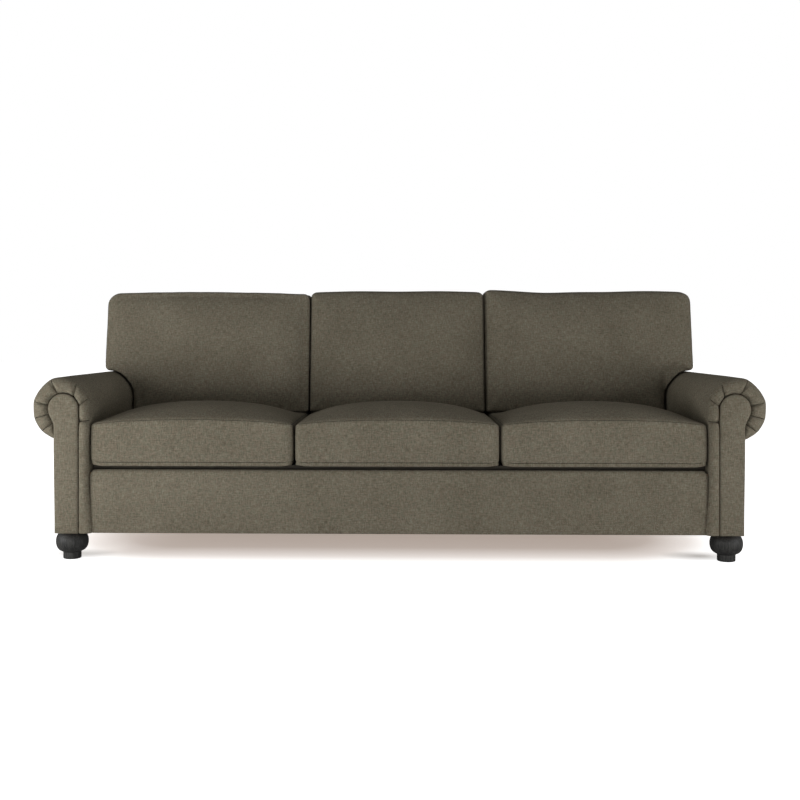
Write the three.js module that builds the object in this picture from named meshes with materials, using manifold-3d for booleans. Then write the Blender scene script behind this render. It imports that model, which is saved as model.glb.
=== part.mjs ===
// English roll arm sofa for three: a hardwood frame on turned bun feet, rolled arms with
// padded facings, three loose seat cushions and three loose back cushions.
// Millimetres, +Z up, the front faces -Y. Left and right are as seen from the front.
// Origin: on the floor, under the middle of the sofa.

import * as THREE from 'three';
import { mergeVertices } from 'three/addons/utils/BufferGeometryUtils.js';
import Module from 'manifold-3d';

const wasm = await Module();
wasm.setup();

// Overall size
const overallWidth = 2438;
const overallDepth = 965;
const overallHeight = 930;

// Clearances
const fitGap = 0.3;
const padGap = 1;
const cutOverrun = 5;
const mergeDistance = 0.001;

// Feet
const footHeight = 97;
const footRadius = 55;
const footPadRadius = 30;
const footPadHeight = 24;
const footPadEdge = 2.5;
const bunMiddleHeight = 59;
const bunHalfHeight = 33;
const footNeckRadius = 29;
const footNeckHeight = 8;
const footInsetFromSide = 33;
const footInsetFromFront = 92;
const boltRadius = 4;
const boltDepthInFoot = 38;

// Arms
const armHeight = 616;
const rollWidth = 195;
const rollHeight = 210;
const rollOverhang = 84.5;
const armEdgeRadius = 45;
const facingShift = 14;
const facingThickness = 12;
const facingBevel = 4;
const facingSeam = 0.6;
const postInset = 8;
const postThickness = 25;
const armRailSize = 52;
const armBottomRailHeight = 100;

// Covering
const coverThickness = 4;
const clothThickness = 1.5;

// Base
const deckHeight = 320;
const deckThickness = 19;
const springWire = 4;
const railThickness = 28;
const footBlockLength = 90;
const footBlockHeight = 30;
const borderThickness = 14;
const borderSetback = 17;
const borderTopDrop = 5;
const borderRound = 12;
const dustCoverInset = 12;

// Back
const backFrameHeight = 850;
const outsideBackLean = 42.5;
const backTopDepth = 144;
const insideBackLean = 93;
const insidePadThickness = 30;
const topPadThickness = 25;
const backCornerRadius = 45;
const backEdgeRadius = 26;
const uprightThickness = 30;
const webbingThickness = 3;
const webbingWidth = 50;

// Seat cushions
const cushionGap = 8;
const cushionArmGap = 3;
const backCushionGap = 3;
const seatCushionSetback = 14;
const seatSeamHeight = 139;
const seatCrownHeight = 196;
const seatUnderCurve = 12;
const seatSeamRise = 15;
const seatSideDraw = 7;
const cushionCornerRadius = 24;
const wrapThickness = 26;
const zipWidth = 6;

// Back cushions
const backCushionBoxing = 165;
const backCushionCrown = 40;
const crownEase = 120;
const backCushionRearCrown = 12;
const backCushionBottomRise = 26;
const backCushionSideDraw = 8;
const earGap = 9;
const earOutsideInset = 1.5;
const notchRadius = 66;
const topOuterRadius = 45;
const topInnerRadius = 22;

// Counts and shares
const rollSegments = 20;
const edgeAngleShares = [1, 0.8, 0.6, 0.4, 0.2, 0];
const footSegments = 20;
const bunRingShares = [-0.84, -0.5, 0, 0.5, 0.84];
const arcSteps = 4;
const rollEndSteps = 10;
const boltSegments = 12;
const sideSegments = 8;
const cornerSegments = 2;
const crownRingShares = [0.94, 0.84, 0.68, 0.48, 0.25];
const bowPowerShare = 0.6;
const undersideRingShares = [0.88, 0.95];
const cushionSeamShare = 0.985;
const zipLengthShare = 0.7;
const springsPerSeat = 3;
const springBends = 10;
const springSpreadShare = 0.36;
const springSwingShare = 0.3;
const tieShares = [0.33, 0.67];
const webbingRows = 3;
const webbingColumns = 9;

// Places that follow from the sizes
const halfWidth = overallWidth / 2;
const frontY = -overallDepth / 2;
const rollRadiusX = rollWidth / 2;
const rollRadiusZ = rollHeight / 2;
const rollX = halfWidth - rollRadiusX;
const rollZ = armHeight - rollRadiusZ;
const armInsideX = halfWidth - rollWidth;
const armOutsideX = halfWidth - rollOverhang;
const headRadius = rollRadiusX - armEdgeRadius;
const headX = rollX - facingShift;
const facingInsideX = headX - headRadius;
const facingBackY = frontY + facingThickness;
const postFrontY = facingBackY + fitGap;
const postBackY = postFrontY + postThickness;
const footX = armOutsideX - footInsetFromSide;
const footFrontY = frontY + footInsetFromFront;
const deckTopZ = deckHeight - fitGap;
const deckBottomZ = deckTopZ - deckThickness;
const springTopZ = deckBottomZ - fitGap;
const railTopZ = springTopZ - springWire;
const borderFrontY = frontY + borderSetback;
const railFrontY = borderFrontY + borderThickness + fitGap;
const railRearEdgeY = rearY(footHeight) - coverThickness - fitGap - railThickness;
const sideRailX = armInsideX - fitGap;
const seatPitch = 2 * (armInsideX - cushionArmGap + cushionGap / 2) / 3;
const uprightTopZ = backFrameHeight - topPadThickness - fitGap - railThickness;
const sides = [['left', -1], ['right', 1]];

const woodLook = { color: 0xb08a5c, roughness: 0.7, metalness: 0 };
const fabricLook = { color: 0x766e5d, roughness: 0.95, metalness: 0 };
const fabricShadeLook = { color: 0x6a6353, roughness: 0.95, metalness: 0 };
const foamLook = { color: 0xe8dfc4, roughness: 0.9, metalness: 0 };
const blackWoodLook = { color: 0x262422, roughness: 0.5, metalness: 0 };
const steelLook = { color: 0x9a9a98, roughness: 0.35, metalness: 1 };
const webbingLook = { color: 0x8f7a52, roughness: 0.9, metalness: 0 };
const dustClothLook = { color: 0x1c1c1e, roughness: 0.95, metalness: 0 };

const sofa = new THREE.Group();

// The face of the inside back, which leans back as it rises
function insideY(z) {
  const drop = (backFrameHeight - z) / (backFrameHeight - deckHeight);
  return overallDepth / 2 - backTopDepth - insideBackLean * drop;
}

// The face of the outside back, which leans back as it rises
function rearY(z) {
  const drop = (backFrameHeight - z) / (backFrameHeight - footHeight);
  return overallDepth / 2 - outsideBackLean * drop;
}

// Signed volume of an indexed mesh, to tell whether its faces point out
function signedVolume(geometry) {
  const position = geometry.attributes.position;
  const index = geometry.index;
  const a = new THREE.Vector3();
  const b = new THREE.Vector3();
  const c = new THREE.Vector3();
  let total = 0;
  for (let i = 0; i < index.count; i += 3) {
    a.fromBufferAttribute(position, index.getX(i));
    b.fromBufferAttribute(position, index.getX(i + 1));
    c.fromBufferAttribute(position, index.getX(i + 2));
    total += a.dot(b.cross(c)) / 6;
  }
  return total;
}

// Merge the shared vertices and turn the faces out
function closed(geometry) {
  const bare = geometry.clone();
  bare.deleteAttribute('normal');
  bare.deleteAttribute('uv');
  const merged = mergeVertices(bare, mergeDistance);
  if (signedVolume(merged) < 0) {
    const index = merged.index;
    for (let i = 0; i < index.count; i += 3) {
      const second = index.getX(i + 1);
      index.setX(i + 1, index.getX(i + 2));
      index.setX(i + 2, second);
    }
  }
  merged.computeVertexNormals();
  return merged;
}

function mirrored(geometry) {
  return closed(geometry.clone().scale(-1, 1, 1));
}

function forSide(geometry, sign) {
  return sign < 0 ? mirrored(geometry) : geometry;
}

function place(name, geometry, look) {
  const material = new THREE.MeshStandardMaterial(look);
  const mesh = new THREE.Mesh(geometry, material);
  mesh.name = name;
  sofa.add(mesh);
}

function toSolid(geometry) {
  const shut = closed(geometry);
  return new wasm.Manifold(new wasm.Mesh({
    numProp: 3,
    vertProperties: new Float32Array(shut.attributes.position.array),
    triVerts: new Uint32Array(shut.index.array),
  }));
}

function fromSolid(solid) {
  const mesh = solid.getMesh();
  const geometry = new THREE.BufferGeometry();
  geometry.setAttribute('position', new THREE.BufferAttribute(mesh.vertProperties, 3));
  geometry.setIndex(new THREE.BufferAttribute(mesh.triVerts, 1));
  return closed(geometry);
}

function box(x, y, z) {
  const geometry = new THREE.BoxGeometry(x[1] - x[0], y[1] - y[0], z[1] - z[0]);
  geometry.translate((x[0] + x[1]) / 2, (y[0] + y[1]) / 2, (z[0] + z[1]) / 2);
  return closed(geometry);
}

function shapeOf(points) {
  return new THREE.Shape(points.map(([a, b]) => new THREE.Vector2(a, b)));
}

// Outline in X and Z, thickness along Y
function plateAlongY(points, y, bevel = 0) {
  const geometry = new THREE.ExtrudeGeometry(shapeOf(points), {
    depth: y[1] - y[0] - 2 * bevel,
    bevelEnabled: bevel > 0,
    bevelThickness: bevel,
    bevelSize: bevel,
    bevelOffset: -bevel,
    bevelSegments: 2,
    curveSegments: 1,
  });
  geometry.rotateX(Math.PI / 2);
  geometry.translate(0, y[1] - bevel, 0);
  return closed(geometry);
}

// Outline in Y and Z, thickness along X
function plateAlongX(points, x) {
  const geometry = new THREE.ExtrudeGeometry(shapeOf(points), { depth: x[1] - x[0], bevelEnabled: false });
  const turn = new THREE.Matrix4().makeBasis(
    new THREE.Vector3(0, 1, 0),
    new THREE.Vector3(0, 0, 1),
    new THREE.Vector3(1, 0, 0),
  );
  geometry.applyMatrix4(turn);
  geometry.translate(x[0], 0, 0);
  return closed(geometry);
}

// Outline in X and Y, thickness along Z
function plateAlongZ(shape, z) {
  const geometry = new THREE.ExtrudeGeometry(shape, { depth: z[1] - z[0], bevelEnabled: false });
  geometry.translate(0, 0, z[0]);
  return closed(geometry);
}

// Lean a piece with a face that follows leanY
function leaned(geometry, leanY) {
  const moved = geometry.clone();
  const position = moved.attributes.position;
  for (let i = 0; i < position.count; i += 1) {
    position.setY(i, position.getY(i) + leanY(position.getZ(i)));
  }
  return closed(moved);
}

function circleHole(x, y, radius) {
  const hole = new THREE.Path();
  for (let i = 0; i < boltSegments; i += 1) {
    const angle = 2 * Math.PI * i / boltSegments;
    const point = [x + radius * Math.cos(angle), y + radius * Math.sin(angle)];
    if (i === 0) {
      hole.moveTo(...point);
    } else {
      hole.lineTo(...point);
    }
  }
  hole.closePath();
  return hole;
}

// The arm's outline in X and Z, from the foot of its inside face over the roll to the
// outside face. inset draws it in evenly.
function rollOutline(inset, bottomZ) {
  const points = [[armInsideX + inset, bottomZ]];
  const end = -Math.acos((armOutsideX + facingSeam - rollX) / (rollRadiusX - inset));
  for (let i = 0; i <= rollSegments; i += 1) {
    const angle = Math.PI + (end - Math.PI) * i / rollSegments;
    const x = rollX + (rollRadiusX - inset) * Math.cos(angle);
    const z = rollZ + (rollRadiusZ - inset) * Math.sin(angle);
    points.push([x, z]);
  }
  return points;
}

// The facing's outline: a straight stem with a round head, drawn in by inset
function facingOutline(inset, bottomZ) {
  const radius = headRadius - inset;
  const points = [[facingInsideX + inset, bottomZ]];
  const end = -Math.acos((armOutsideX - inset - headX) / radius);
  for (let i = 0; i <= rollSegments; i += 1) {
    const angle = Math.PI + (end - Math.PI) * i / rollSegments;
    points.push([headX + radius * Math.cos(angle), rollZ + radius * Math.sin(angle)]);
  }
  return points;
}

function facingShape(inset, bottomZ) {
  return [...facingOutline(inset, bottomZ), [armOutsideX - inset, bottomZ]];
}

// A curved sheet with two faces. Each ring holds the points of its outer and inner face.
function sheetBetween(rings) {
  const count = rings[0].outer.length;
  const positions = [];
  for (const ring of rings) {
    positions.push(...ring.outer.flat(), ...ring.inner.flat());
  }
  const outerAt = (ring, i) => ring * 2 * count + i;
  const innerAt = (ring, i) => outerAt(ring, i) + count;
  const indices = [];
  const quad = (a, b, c, d) => indices.push(a, b, c, a, c, d);
  for (let ring = 0; ring < rings.length - 1; ring += 1) {
    for (let i = 0; i < count - 1; i += 1) {
      quad(outerAt(ring, i), outerAt(ring, i + 1), outerAt(ring + 1, i + 1), outerAt(ring + 1, i));
      quad(innerAt(ring, i), innerAt(ring + 1, i), innerAt(ring + 1, i + 1), innerAt(ring, i + 1));
    }
    const end = count - 1;
    quad(outerAt(ring, 0), outerAt(ring + 1, 0), innerAt(ring + 1, 0), innerAt(ring, 0));
    quad(outerAt(ring, end), innerAt(ring, end), innerAt(ring + 1, end), outerAt(ring + 1, end));
  }
  const last = rings.length - 1;
  for (let i = 0; i < count - 1; i += 1) {
    quad(outerAt(0, i), innerAt(0, i), innerAt(0, i + 1), outerAt(0, i + 1));
    quad(outerAt(last, i), outerAt(last, i + 1), innerAt(last, i + 1), innerAt(last, i));
  }
  const geometry = new THREE.BufferGeometry();
  geometry.setAttribute('position', new THREE.Float32BufferAttribute(positions, 3));
  geometry.setIndex(indices);
  return closed(geometry);
}

// One face of the arm's padding or cover: it rounds from the facing's seam to the full
// outline, and then runs back to the outside back. depth is how far it lies under the cloth.
function armFace(depth, bottomZ, edgeShare) {
  const seam = facingOutline(-facingSeam, bottomZ);
  const full = rollOutline(depth, bottomZ);
  const angle = edgeShare * Math.PI / 2;
  const reach = armEdgeRadius - depth;
  const y = frontY + depth + reach * (1 - Math.sin(angle));
  return full.map(([x, z], i) => [
    seam[i][0] + (x - seam[i][0]) * Math.cos(angle),
    y,
    seam[i][1] + (z - seam[i][1]) * Math.cos(angle),
  ]);
}

function armRearFace(outline) {
  return outline.map(([x, z]) => [x, rearY(z) - coverThickness - fitGap, z]);
}

function armCover() {
  const rings = edgeAngleShares.map((share) => ({
    outer: armFace(0, footHeight, share),
    inner: armFace(coverThickness, footHeight, share),
  }));
  rings.push({
    outer: armRearFace(rollOutline(0, footHeight)),
    inner: armRearFace(rollOutline(coverThickness, footHeight)),
  });
  return sheetBetween(rings);
}

// Foam from the deck up, between the cover and the posts
function armPadding() {
  const depth = coverThickness + padGap;
  const core = facingOutline(postInset - padGap, deckHeight);
  const backY = (z) => rearY(z) - coverThickness - padGap;
  const rings = edgeAngleShares.map((share) => {
    const outer = armFace(depth, deckHeight, share);
    return { outer, inner: core.map(([x, z], i) => [x, outer[i][1], z]) };
  }).filter((ring) => ring.outer[0][1] > postFrontY);
  const full = rollOutline(depth, deckHeight);
  rings.push({
    outer: full.map(([x, z]) => [x, backY(z), z]),
    inner: core.map(([x, z]) => [x, backY(z), z]),
  });
  return sheetBetween(rings);
}

// The outside arm is flat. Its front top corner follows the end of the roll's cover.
function outsideArmPanel() {
  const full = rollOutline(0, footHeight).at(-1);
  const seam = facingOutline(-facingSeam, footHeight).at(-1);
  const topEdge = edgeAngleShares.map((share) => {
    const angle = share * Math.PI / 2;
    const y = frontY + armEdgeRadius * (1 - Math.sin(angle));
    const z = seam[1] + (full[1] - seam[1]) * Math.cos(angle) - padGap;
    return [y, z];
  }).filter(([y]) => y > postFrontY);
  const rearTop = full[1] - padGap;
  const back = (z) => rearY(z) - coverThickness - fitGap;
  const firstZ = topEdge[0][1];
  const outline = [
    [postFrontY, footHeight],
    [back(footHeight), footHeight],
    [back(rearTop), rearTop],
    ...topEdge.reverse(),
    [postFrontY, firstZ],
  ];
  return plateAlongX(outline, [armOutsideX - coverThickness, armOutsideX]);
}

function addArm(side, sign) {
  const innerX = armOutsideX - coverThickness - fitGap;
  const post = facingShape(postInset, footHeight);
  const postRearY = rearY(footHeight) - coverThickness - 2 * padGap;
  const rearPostY = [postRearY - postThickness, postRearY];
  const railY = [postBackY, rearPostY[0]];
  const facing = plateAlongY(facingShape(0, footHeight), [frontY, facingBackY], facingBevel);
  place(`arm_cover_${side}`, forSide(armCover(), sign), fabricLook);
  place(`arm_padding_${side}`, forSide(armPadding(), sign), foamLook);
  place(`arm_front_panel_${side}`, forSide(facing, sign), fabricLook);
  place(`outside_arm_panel_${side}`, forSide(outsideArmPanel(), sign), fabricShadeLook);
  place(`arm_front_post_${side}`, forSide(plateAlongY(post, [postFrontY, postBackY]), sign), woodLook);
  place(`arm_rear_post_${side}`, forSide(plateAlongY(post, rearPostY), sign), woodLook);
  const topRail = box(
    [headX - armRailSize / 2, headX + armRailSize / 2],
    railY,
    [rollZ - armRailSize / 2, rollZ + armRailSize / 2],
  );
  place(`arm_top_rail_${side}`, forSide(topRail, sign), woodLook);
  const bottomRailZ = footHeight + footBlockHeight;
  const bottomRail = box(
    [innerX - railThickness, innerX],
    railY,
    [bottomRailZ, bottomRailZ + armBottomRailHeight],
  );
  place(`arm_bottom_rail_${side}`, forSide(bottomRail, sign), woodLook);
}

// Bun foot, turned: a low pad, a cove, the bun and a neck, with a blind hole for its bolt
function footForm() {
  const hole = boltRadius + fitGap;
  const profile = [
    [0, 0], [footPadRadius - footPadEdge, 0],
    [footPadRadius, footPadEdge], [footPadRadius, footPadHeight],
  ];
  for (const share of bunRingShares) {
    const radius = footPadRadius + (footRadius - footPadRadius) * Math.sqrt(1 - share * share);
    profile.push([radius, bunMiddleHeight + bunHalfHeight * share]);
  }
  profile.push([footNeckRadius, footHeight - footNeckHeight], [footNeckRadius, footHeight]);
  profile.push([hole, footHeight], [hole, footHeight - boltDepthInFoot], [0, footHeight - boltDepthInFoot]);
  const points = profile.map(([r, z]) => new THREE.Vector2(r, z));
  const geometry = new THREE.LatheGeometry(points, footSegments);
  geometry.rotateX(Math.PI / 2);
  return closed(geometry);
}

function boltForm() {
  const length = boltDepthInFoot - fitGap + footBlockHeight;
  const geometry = new THREE.CylinderGeometry(boltRadius, boltRadius, length, boltSegments);
  geometry.rotateX(Math.PI / 2);
  geometry.translate(0, 0, footHeight - boltDepthInFoot + fitGap + length / 2);
  return closed(geometry);
}

// The block behind each post that takes the foot's bolt
function footBlock(y, yRange) {
  const x = [armInsideX + 2 * coverThickness, armOutsideX - coverThickness - fitGap];
  const outline = shapeOf([[x[0], yRange[0]], [x[1], yRange[0]], [x[1], yRange[1]], [x[0], yRange[1]]]);
  outline.holes.push(circleHole(footX, y, boltRadius + fitGap));
  return plateAlongZ(outline, [footHeight, footHeight + footBlockHeight]);
}

function addFeet() {
  const postRearY = rearY(footHeight) - coverThickness - 2 * padGap - postThickness;
  const footRearY = postRearY - (footFrontY - postBackY);
  const ends = [
    ['front', footFrontY, [postBackY, postBackY + footBlockLength]],
    ['rear', footRearY, [postRearY - footBlockLength, postRearY]],
  ];
  for (const [end, y, blockY] of ends) {
    for (const [side, sign] of sides) {
      const x = sign * footX;
      place(`foot_${end}_${side}`, footForm().translate(x, y, 0), blackWoodLook);
      place(`foot_bolt_${end}_${side}`, boltForm().translate(x, y, 0), steelLook);
      place(`foot_block_${end}_${side}`, forSide(footBlock(y, blockY), sign), woodLook);
    }
  }
}

// Seat box between the arms: rails all round and a brace under each cushion joint
function addSeatBox() {
  const z = [footHeight, railTopZ];
  const frontRailY = [railFrontY, railFrontY + railThickness];
  const rearRailY = [railRearEdgeY, railRearEdgeY + railThickness];
  const betweenY = [frontRailY[1], rearRailY[0]];
  place('front_rail', box([-sideRailX, sideRailX], frontRailY, z), woodLook);
  place('back_rail', box([-sideRailX, sideRailX], rearRailY, z), woodLook);
  const sideRail = box([sideRailX - railThickness, sideRailX], betweenY, z);
  const brace = box([seatPitch / 2 - railThickness / 2, seatPitch / 2 + railThickness / 2], betweenY, z);
  for (const [side, sign] of sides) {
    place(`side_rail_${side}`, forSide(sideRail, sign), woodLook);
    place(`seat_brace_${side}`, forSide(brace, sign), woodLook);
  }
}

// Padded border over the front rail, its top rolled back to the deck
function frontBorder() {
  const topZ = deckHeight - borderTopDrop;
  const lipZ = springTopZ + fitGap;
  const lipY = railFrontY + railThickness;
  const outline = [[borderFrontY, footHeight]];
  for (let i = 0; i <= arcSteps; i += 1) {
    const angle = Math.PI / 2 * i / arcSteps;
    outline.push([
      borderFrontY + borderRound * (1 - Math.cos(angle)),
      topZ - borderRound * (1 - Math.sin(angle)),
    ]);
  }
  outline.push([lipY, topZ], [lipY, lipZ], [railFrontY - fitGap, lipZ], [railFrontY - fitGap, footHeight]);
  return plateAlongX(outline, [-armInsideX + fitGap, armInsideX - fitGap]);
}

function deckPanel() {
  const rearEdge = insideY(deckBottomZ) + insidePadThickness - fitGap;
  const frontEdge = railFrontY + railThickness + fitGap;
  return box([-sideRailX, sideRailX], [frontEdge, rearEdge], [deckBottomZ, deckTopZ]);
}

// One zigzag wire, as a band of even width about its centre line
function zigzagBand(x, y, swing) {
  const centre = [];
  const step = (y[1] - y[0]) / (springBends * 2);
  centre.push([x, y[0]]);
  for (let bend = 0; bend < springBends; bend += 1) {
    const away = bend % 2 === 0 ? swing : -swing;
    centre.push([x + away, y[0] + step * (2 * bend + 0.5)], [x + away, y[0] + step * (2 * bend + 1.5)]);
  }
  centre.push([x, y[1]]);
  const half = springWire / 2;
  const left = [];
  const right = [];
  centre.forEach((point, i) => {
    const before = centre[Math.max(i - 1, 0)];
    const after = centre[Math.min(i + 1, centre.length - 1)];
    const along = new THREE.Vector2(after[0] - before[0], after[1] - before[1]).normalize();
    left.push([point[0] - along.y * half, point[1] + along.x * half]);
    right.unshift([point[0] + along.y * half, point[1] - along.x * half]);
  });
  return [...left, ...right];
}

// The springs of one seat: zigzag wires from rail to rail, joined by cross ties
function seatSprings(centreX) {
  const y = [railFrontY + springWire, railRearEdgeY + railThickness - springWire];
  const reach = seatPitch * springSpreadShare;
  const pitch = 2 * reach / springsPerSeat;
  const z = [railTopZ, springTopZ];
  let solid = null;
  for (let i = 0; i < springsPerSeat; i += 1) {
    const x = centreX - reach + pitch * (i + 0.5);
    const wire = toSolid(plateAlongZ(shapeOf(zigzagBand(x, y, pitch * springSwingShare)), z));
    solid = solid ? solid.add(wire) : wire;
  }
  for (const share of tieShares) {
    const tieY = y[0] + (y[1] - y[0]) * share;
    const tie = box([centreX - reach, centreX + reach], [tieY - springWire / 2, tieY + springWire / 2], z);
    solid = solid.add(toSolid(tie));
  }
  return fromSolid(solid);
}

// Cloth under the whole base, cut away at the corners for the feet
function dustCover() {
  const outerX = armOutsideX - dustCoverInset;
  const innerX = footX - footRadius - dustCoverInset;
  const frontEdge = borderFrontY + dustCoverInset;
  const rearEdge = rearY(footHeight) - dustCoverInset;
  const frontNotch = footFrontY + footRadius + dustCoverInset;
  const rearNotch = rearEdge - (frontNotch - frontEdge);
  const outline = shapeOf([
    [innerX, frontEdge], [innerX, frontNotch], [outerX, frontNotch], [outerX, rearNotch],
    [innerX, rearNotch], [innerX, rearEdge], [-innerX, rearEdge], [-innerX, rearNotch],
    [-outerX, rearNotch], [-outerX, frontNotch], [-innerX, frontNotch], [-innerX, frontEdge],
  ]);
  return plateAlongZ(outline, [footHeight - clothThickness, footHeight]);
}

function addSeat() {
  place('front_border', frontBorder(), fabricLook);
  place('deck_panel', deckPanel(), fabricShadeLook);
  place('dust_cover', dustCover(), dustClothLook);
  place('seat_springs_left', seatSprings(-seatPitch), steelLook);
  place('seat_springs_middle', seatSprings(0), steelLook);
  place('seat_springs_right', seatSprings(seatPitch), steelLook);
}

const uprightFront = (z) => insideY(z) + insidePadThickness + webbingThickness + 2 * fitGap;
const uprightRear = (z) => rearY(z) - coverThickness - fitGap;

function upright(x) {
  const outline = [
    [uprightFront(railTopZ), railTopZ], [uprightRear(railTopZ), railTopZ],
    [uprightRear(uprightTopZ), uprightTopZ], [uprightFront(uprightTopZ), uprightTopZ],
  ];
  return plateAlongX(outline, [x, x + uprightThickness]);
}

function topRail() {
  const topZ = uprightTopZ + railThickness;
  const outline = [
    [uprightFront(uprightTopZ), uprightTopZ], [uprightRear(uprightTopZ), uprightTopZ],
    [uprightRear(topZ), topZ], [uprightFront(topZ), topZ],
  ];
  const reach = armOutsideX - coverThickness - padGap;
  return plateAlongX(outline, [-reach, reach]);
}

// Woven straps across the back, joined where they cross
function backWebbing() {
  const reach = sideRailX - railThickness;
  const bottom = deckHeight + fitGap;
  const top = uprightTopZ + railThickness;
  const rear = insidePadThickness + webbingThickness + fitGap;
  const y = [rear - webbingThickness, rear];
  const stepX = (2 * reach - webbingWidth) / webbingColumns;
  const stepZ = (top - bottom - webbingWidth) / webbingRows;
  let solid = null;
  for (let column = 0; column <= webbingColumns; column += 1) {
    const x = -reach + stepX * column;
    const strap = toSolid(box([x, x + webbingWidth], y, [bottom, top]));
    solid = solid ? solid.add(strap) : strap;
  }
  for (let row = 0; row <= webbingRows; row += 1) {
    const z = bottom + stepZ * row;
    solid = solid.add(toSolid(box([-reach, reach], y, [z, z + webbingWidth])));
  }
  return leaned(fromSolid(solid), insideY);
}

// A rounded top corner, from the vertical side to the flat top
function roundedTop(x, z, radius) {
  const points = [];
  for (let i = 0; i <= arcSteps; i += 1) {
    const angle = Math.PI / 2 * i / arcSteps;
    points.push([x - radius * (1 - Math.cos(angle)), z - radius * (1 - Math.sin(angle))]);
  }
  return points;
}

// The back as seen from the front: between the arms below, out over them above
function backFrontOutline(inset) {
  const lowX = armInsideX - fitGap - inset;
  const highX = armOutsideX - inset;
  const shoulderZ = armHeight + padGap + inset;
  const corner = roundedTop(highX, backFrameHeight - inset, backCornerRadius);
  const half = [[lowX, deckHeight + fitGap], [lowX, shoulderZ], [highX, shoulderZ], ...corner];
  const mirroredHalf = half.map(([x, z]) => [-x, z]).reverse();
  return [...half, ...mirroredHalf];
}

// Inside back: padding and cover in one, wrapped over the frame and open behind
function insideBackCover() {
  const bottom = deckHeight + fitGap;
  const top = backFrameHeight;
  const side = [[insideY(bottom), bottom], [insideY(top - backEdgeRadius), top - backEdgeRadius]];
  for (let i = 1; i <= arcSteps; i += 1) {
    const angle = Math.PI / 2 * i / arcSteps;
    const z = top - backEdgeRadius * (1 - Math.sin(angle));
    side.push([insideY(z) + backEdgeRadius * (1 - Math.cos(angle)), z]);
  }
  side.push([uprightRear(top), top], [uprightRear(bottom), bottom]);
  const wide = toSolid(plateAlongX(side, [-armOutsideX, armOutsideX]));
  const outer = wide.intersect(toSolid(plateAlongY(backFrontOutline(0), [frontY, overallDepth])));
  const cavityTop = top - topPadThickness;
  const cavitySide = [
    [insideY(bottom - cutOverrun) + insidePadThickness, bottom - cutOverrun],
    [insideY(cavityTop) + insidePadThickness, cavityTop],
    [overallDepth, cavityTop],
    [overallDepth, bottom - cutOverrun],
  ];
  const cavityWide = toSolid(plateAlongX(cavitySide, [-armOutsideX, armOutsideX]));
  const reach = armOutsideX - coverThickness;
  const lowReach = armInsideX - fitGap - coverThickness;
  const shoulderZ = armHeight + padGap + coverThickness;
  const upper = box([-reach, reach], [frontY, overallDepth], [shoulderZ, backFrameHeight]);
  const lower = box([-lowReach, lowReach], [frontY, overallDepth], [bottom - cutOverrun, backFrameHeight]);
  const cavity = cavityWide.intersect(toSolid(upper).add(toSolid(lower)));
  return fromSolid(outer.subtract(cavity));
}

// Outside back: one flat panel that also closes the rear ends of the rolls
function outsideBackPanel() {
  const half = [[armOutsideX, footHeight]];
  const end = Math.acos((armOutsideX - rollX) / rollRadiusX);
  for (let i = 0; i <= rollEndSteps; i += 1) {
    const angle = -end + 2 * end * i / rollEndSteps;
    half.push([rollX + rollRadiusX * Math.cos(angle), rollZ + rollRadiusZ * Math.sin(angle)]);
  }
  half.push(...roundedTop(armOutsideX, backFrameHeight, backCornerRadius));
  const mirroredHalf = half.map(([x, z]) => [-x, z]).reverse();
  const plate = plateAlongY([...half, ...mirroredHalf], [-coverThickness, 0]);
  return leaned(plate, rearY);
}

function addBack() {
  const postX = sideRailX - railThickness - fitGap - uprightThickness;
  const stayX = seatPitch / 2 - uprightThickness / 2;
  for (const [side, sign] of sides) {
    place(`back_post_${side}`, forSide(upright(postX), sign), woodLook);
    place(`back_stay_${side}`, forSide(upright(stayX), sign), woodLook);
  }
  place('back_top_rail', topRail(), woodLook);
  place('back_webbing', backWebbing(), webbingLook);
  place('inside_back_cover', insideBackCover(), fabricShadeLook);
  place('outside_back_panel', outsideBackPanel(), fabricLook);
}

// An outline through corners. Each corner is [a, b, radius, draw, rise]: the side that
// follows it is pulled in by draw at its middle, and its seam is higher there by rise.
function drawnOutline(corners) {
  const points = [];
  const count = corners.length;
  const at = (i) => new THREE.Vector2(corners[(i + count) % count][0], corners[(i + count) % count][1]);
  const setback = (i) => {
    const before = at(i - 1).sub(at(i)).normalize();
    const after = at(i + 1).sub(at(i)).normalize();
    return corners[(i + count) % count][2] / Math.tan(Math.acos(before.dot(after)) / 2);
  };
  for (let i = 0; i < count; i += 1) {
    const here = at(i);
    const next = at(i + 1);
    const inDirection = here.clone().sub(at(i - 1)).normalize();
    const outDirection = next.clone().sub(here).normalize();
    const arcStart = here.clone().addScaledVector(inDirection, -setback(i));
    const arcEnd = here.clone().addScaledVector(outDirection, setback(i));
    for (let step = 0; step < cornerSegments; step += 1) {
      const t = step / cornerSegments;
      const first = arcStart.clone().lerp(here, t);
      const second = here.clone().lerp(arcEnd, t);
      points.push({ spot: first.lerp(second, t), rise: 0 });
    }
    const sideEnd = next.clone().addScaledVector(outDirection, -setback(i + 1));
    const inward = new THREE.Vector2(-outDirection.y, outDirection.x);
    for (let step = 0; step < sideSegments; step += 1) {
      const t = step / sideSegments;
      const bow = (4 * t * (1 - t)) ** bowPowerShare;
      const spot = arcEnd.clone().lerp(sideEnd, t).addScaledVector(inward, corners[i][3] * bow);
      points.push({ spot, rise: corners[i][4] * bow });
    }
  }
  return points;
}

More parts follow.
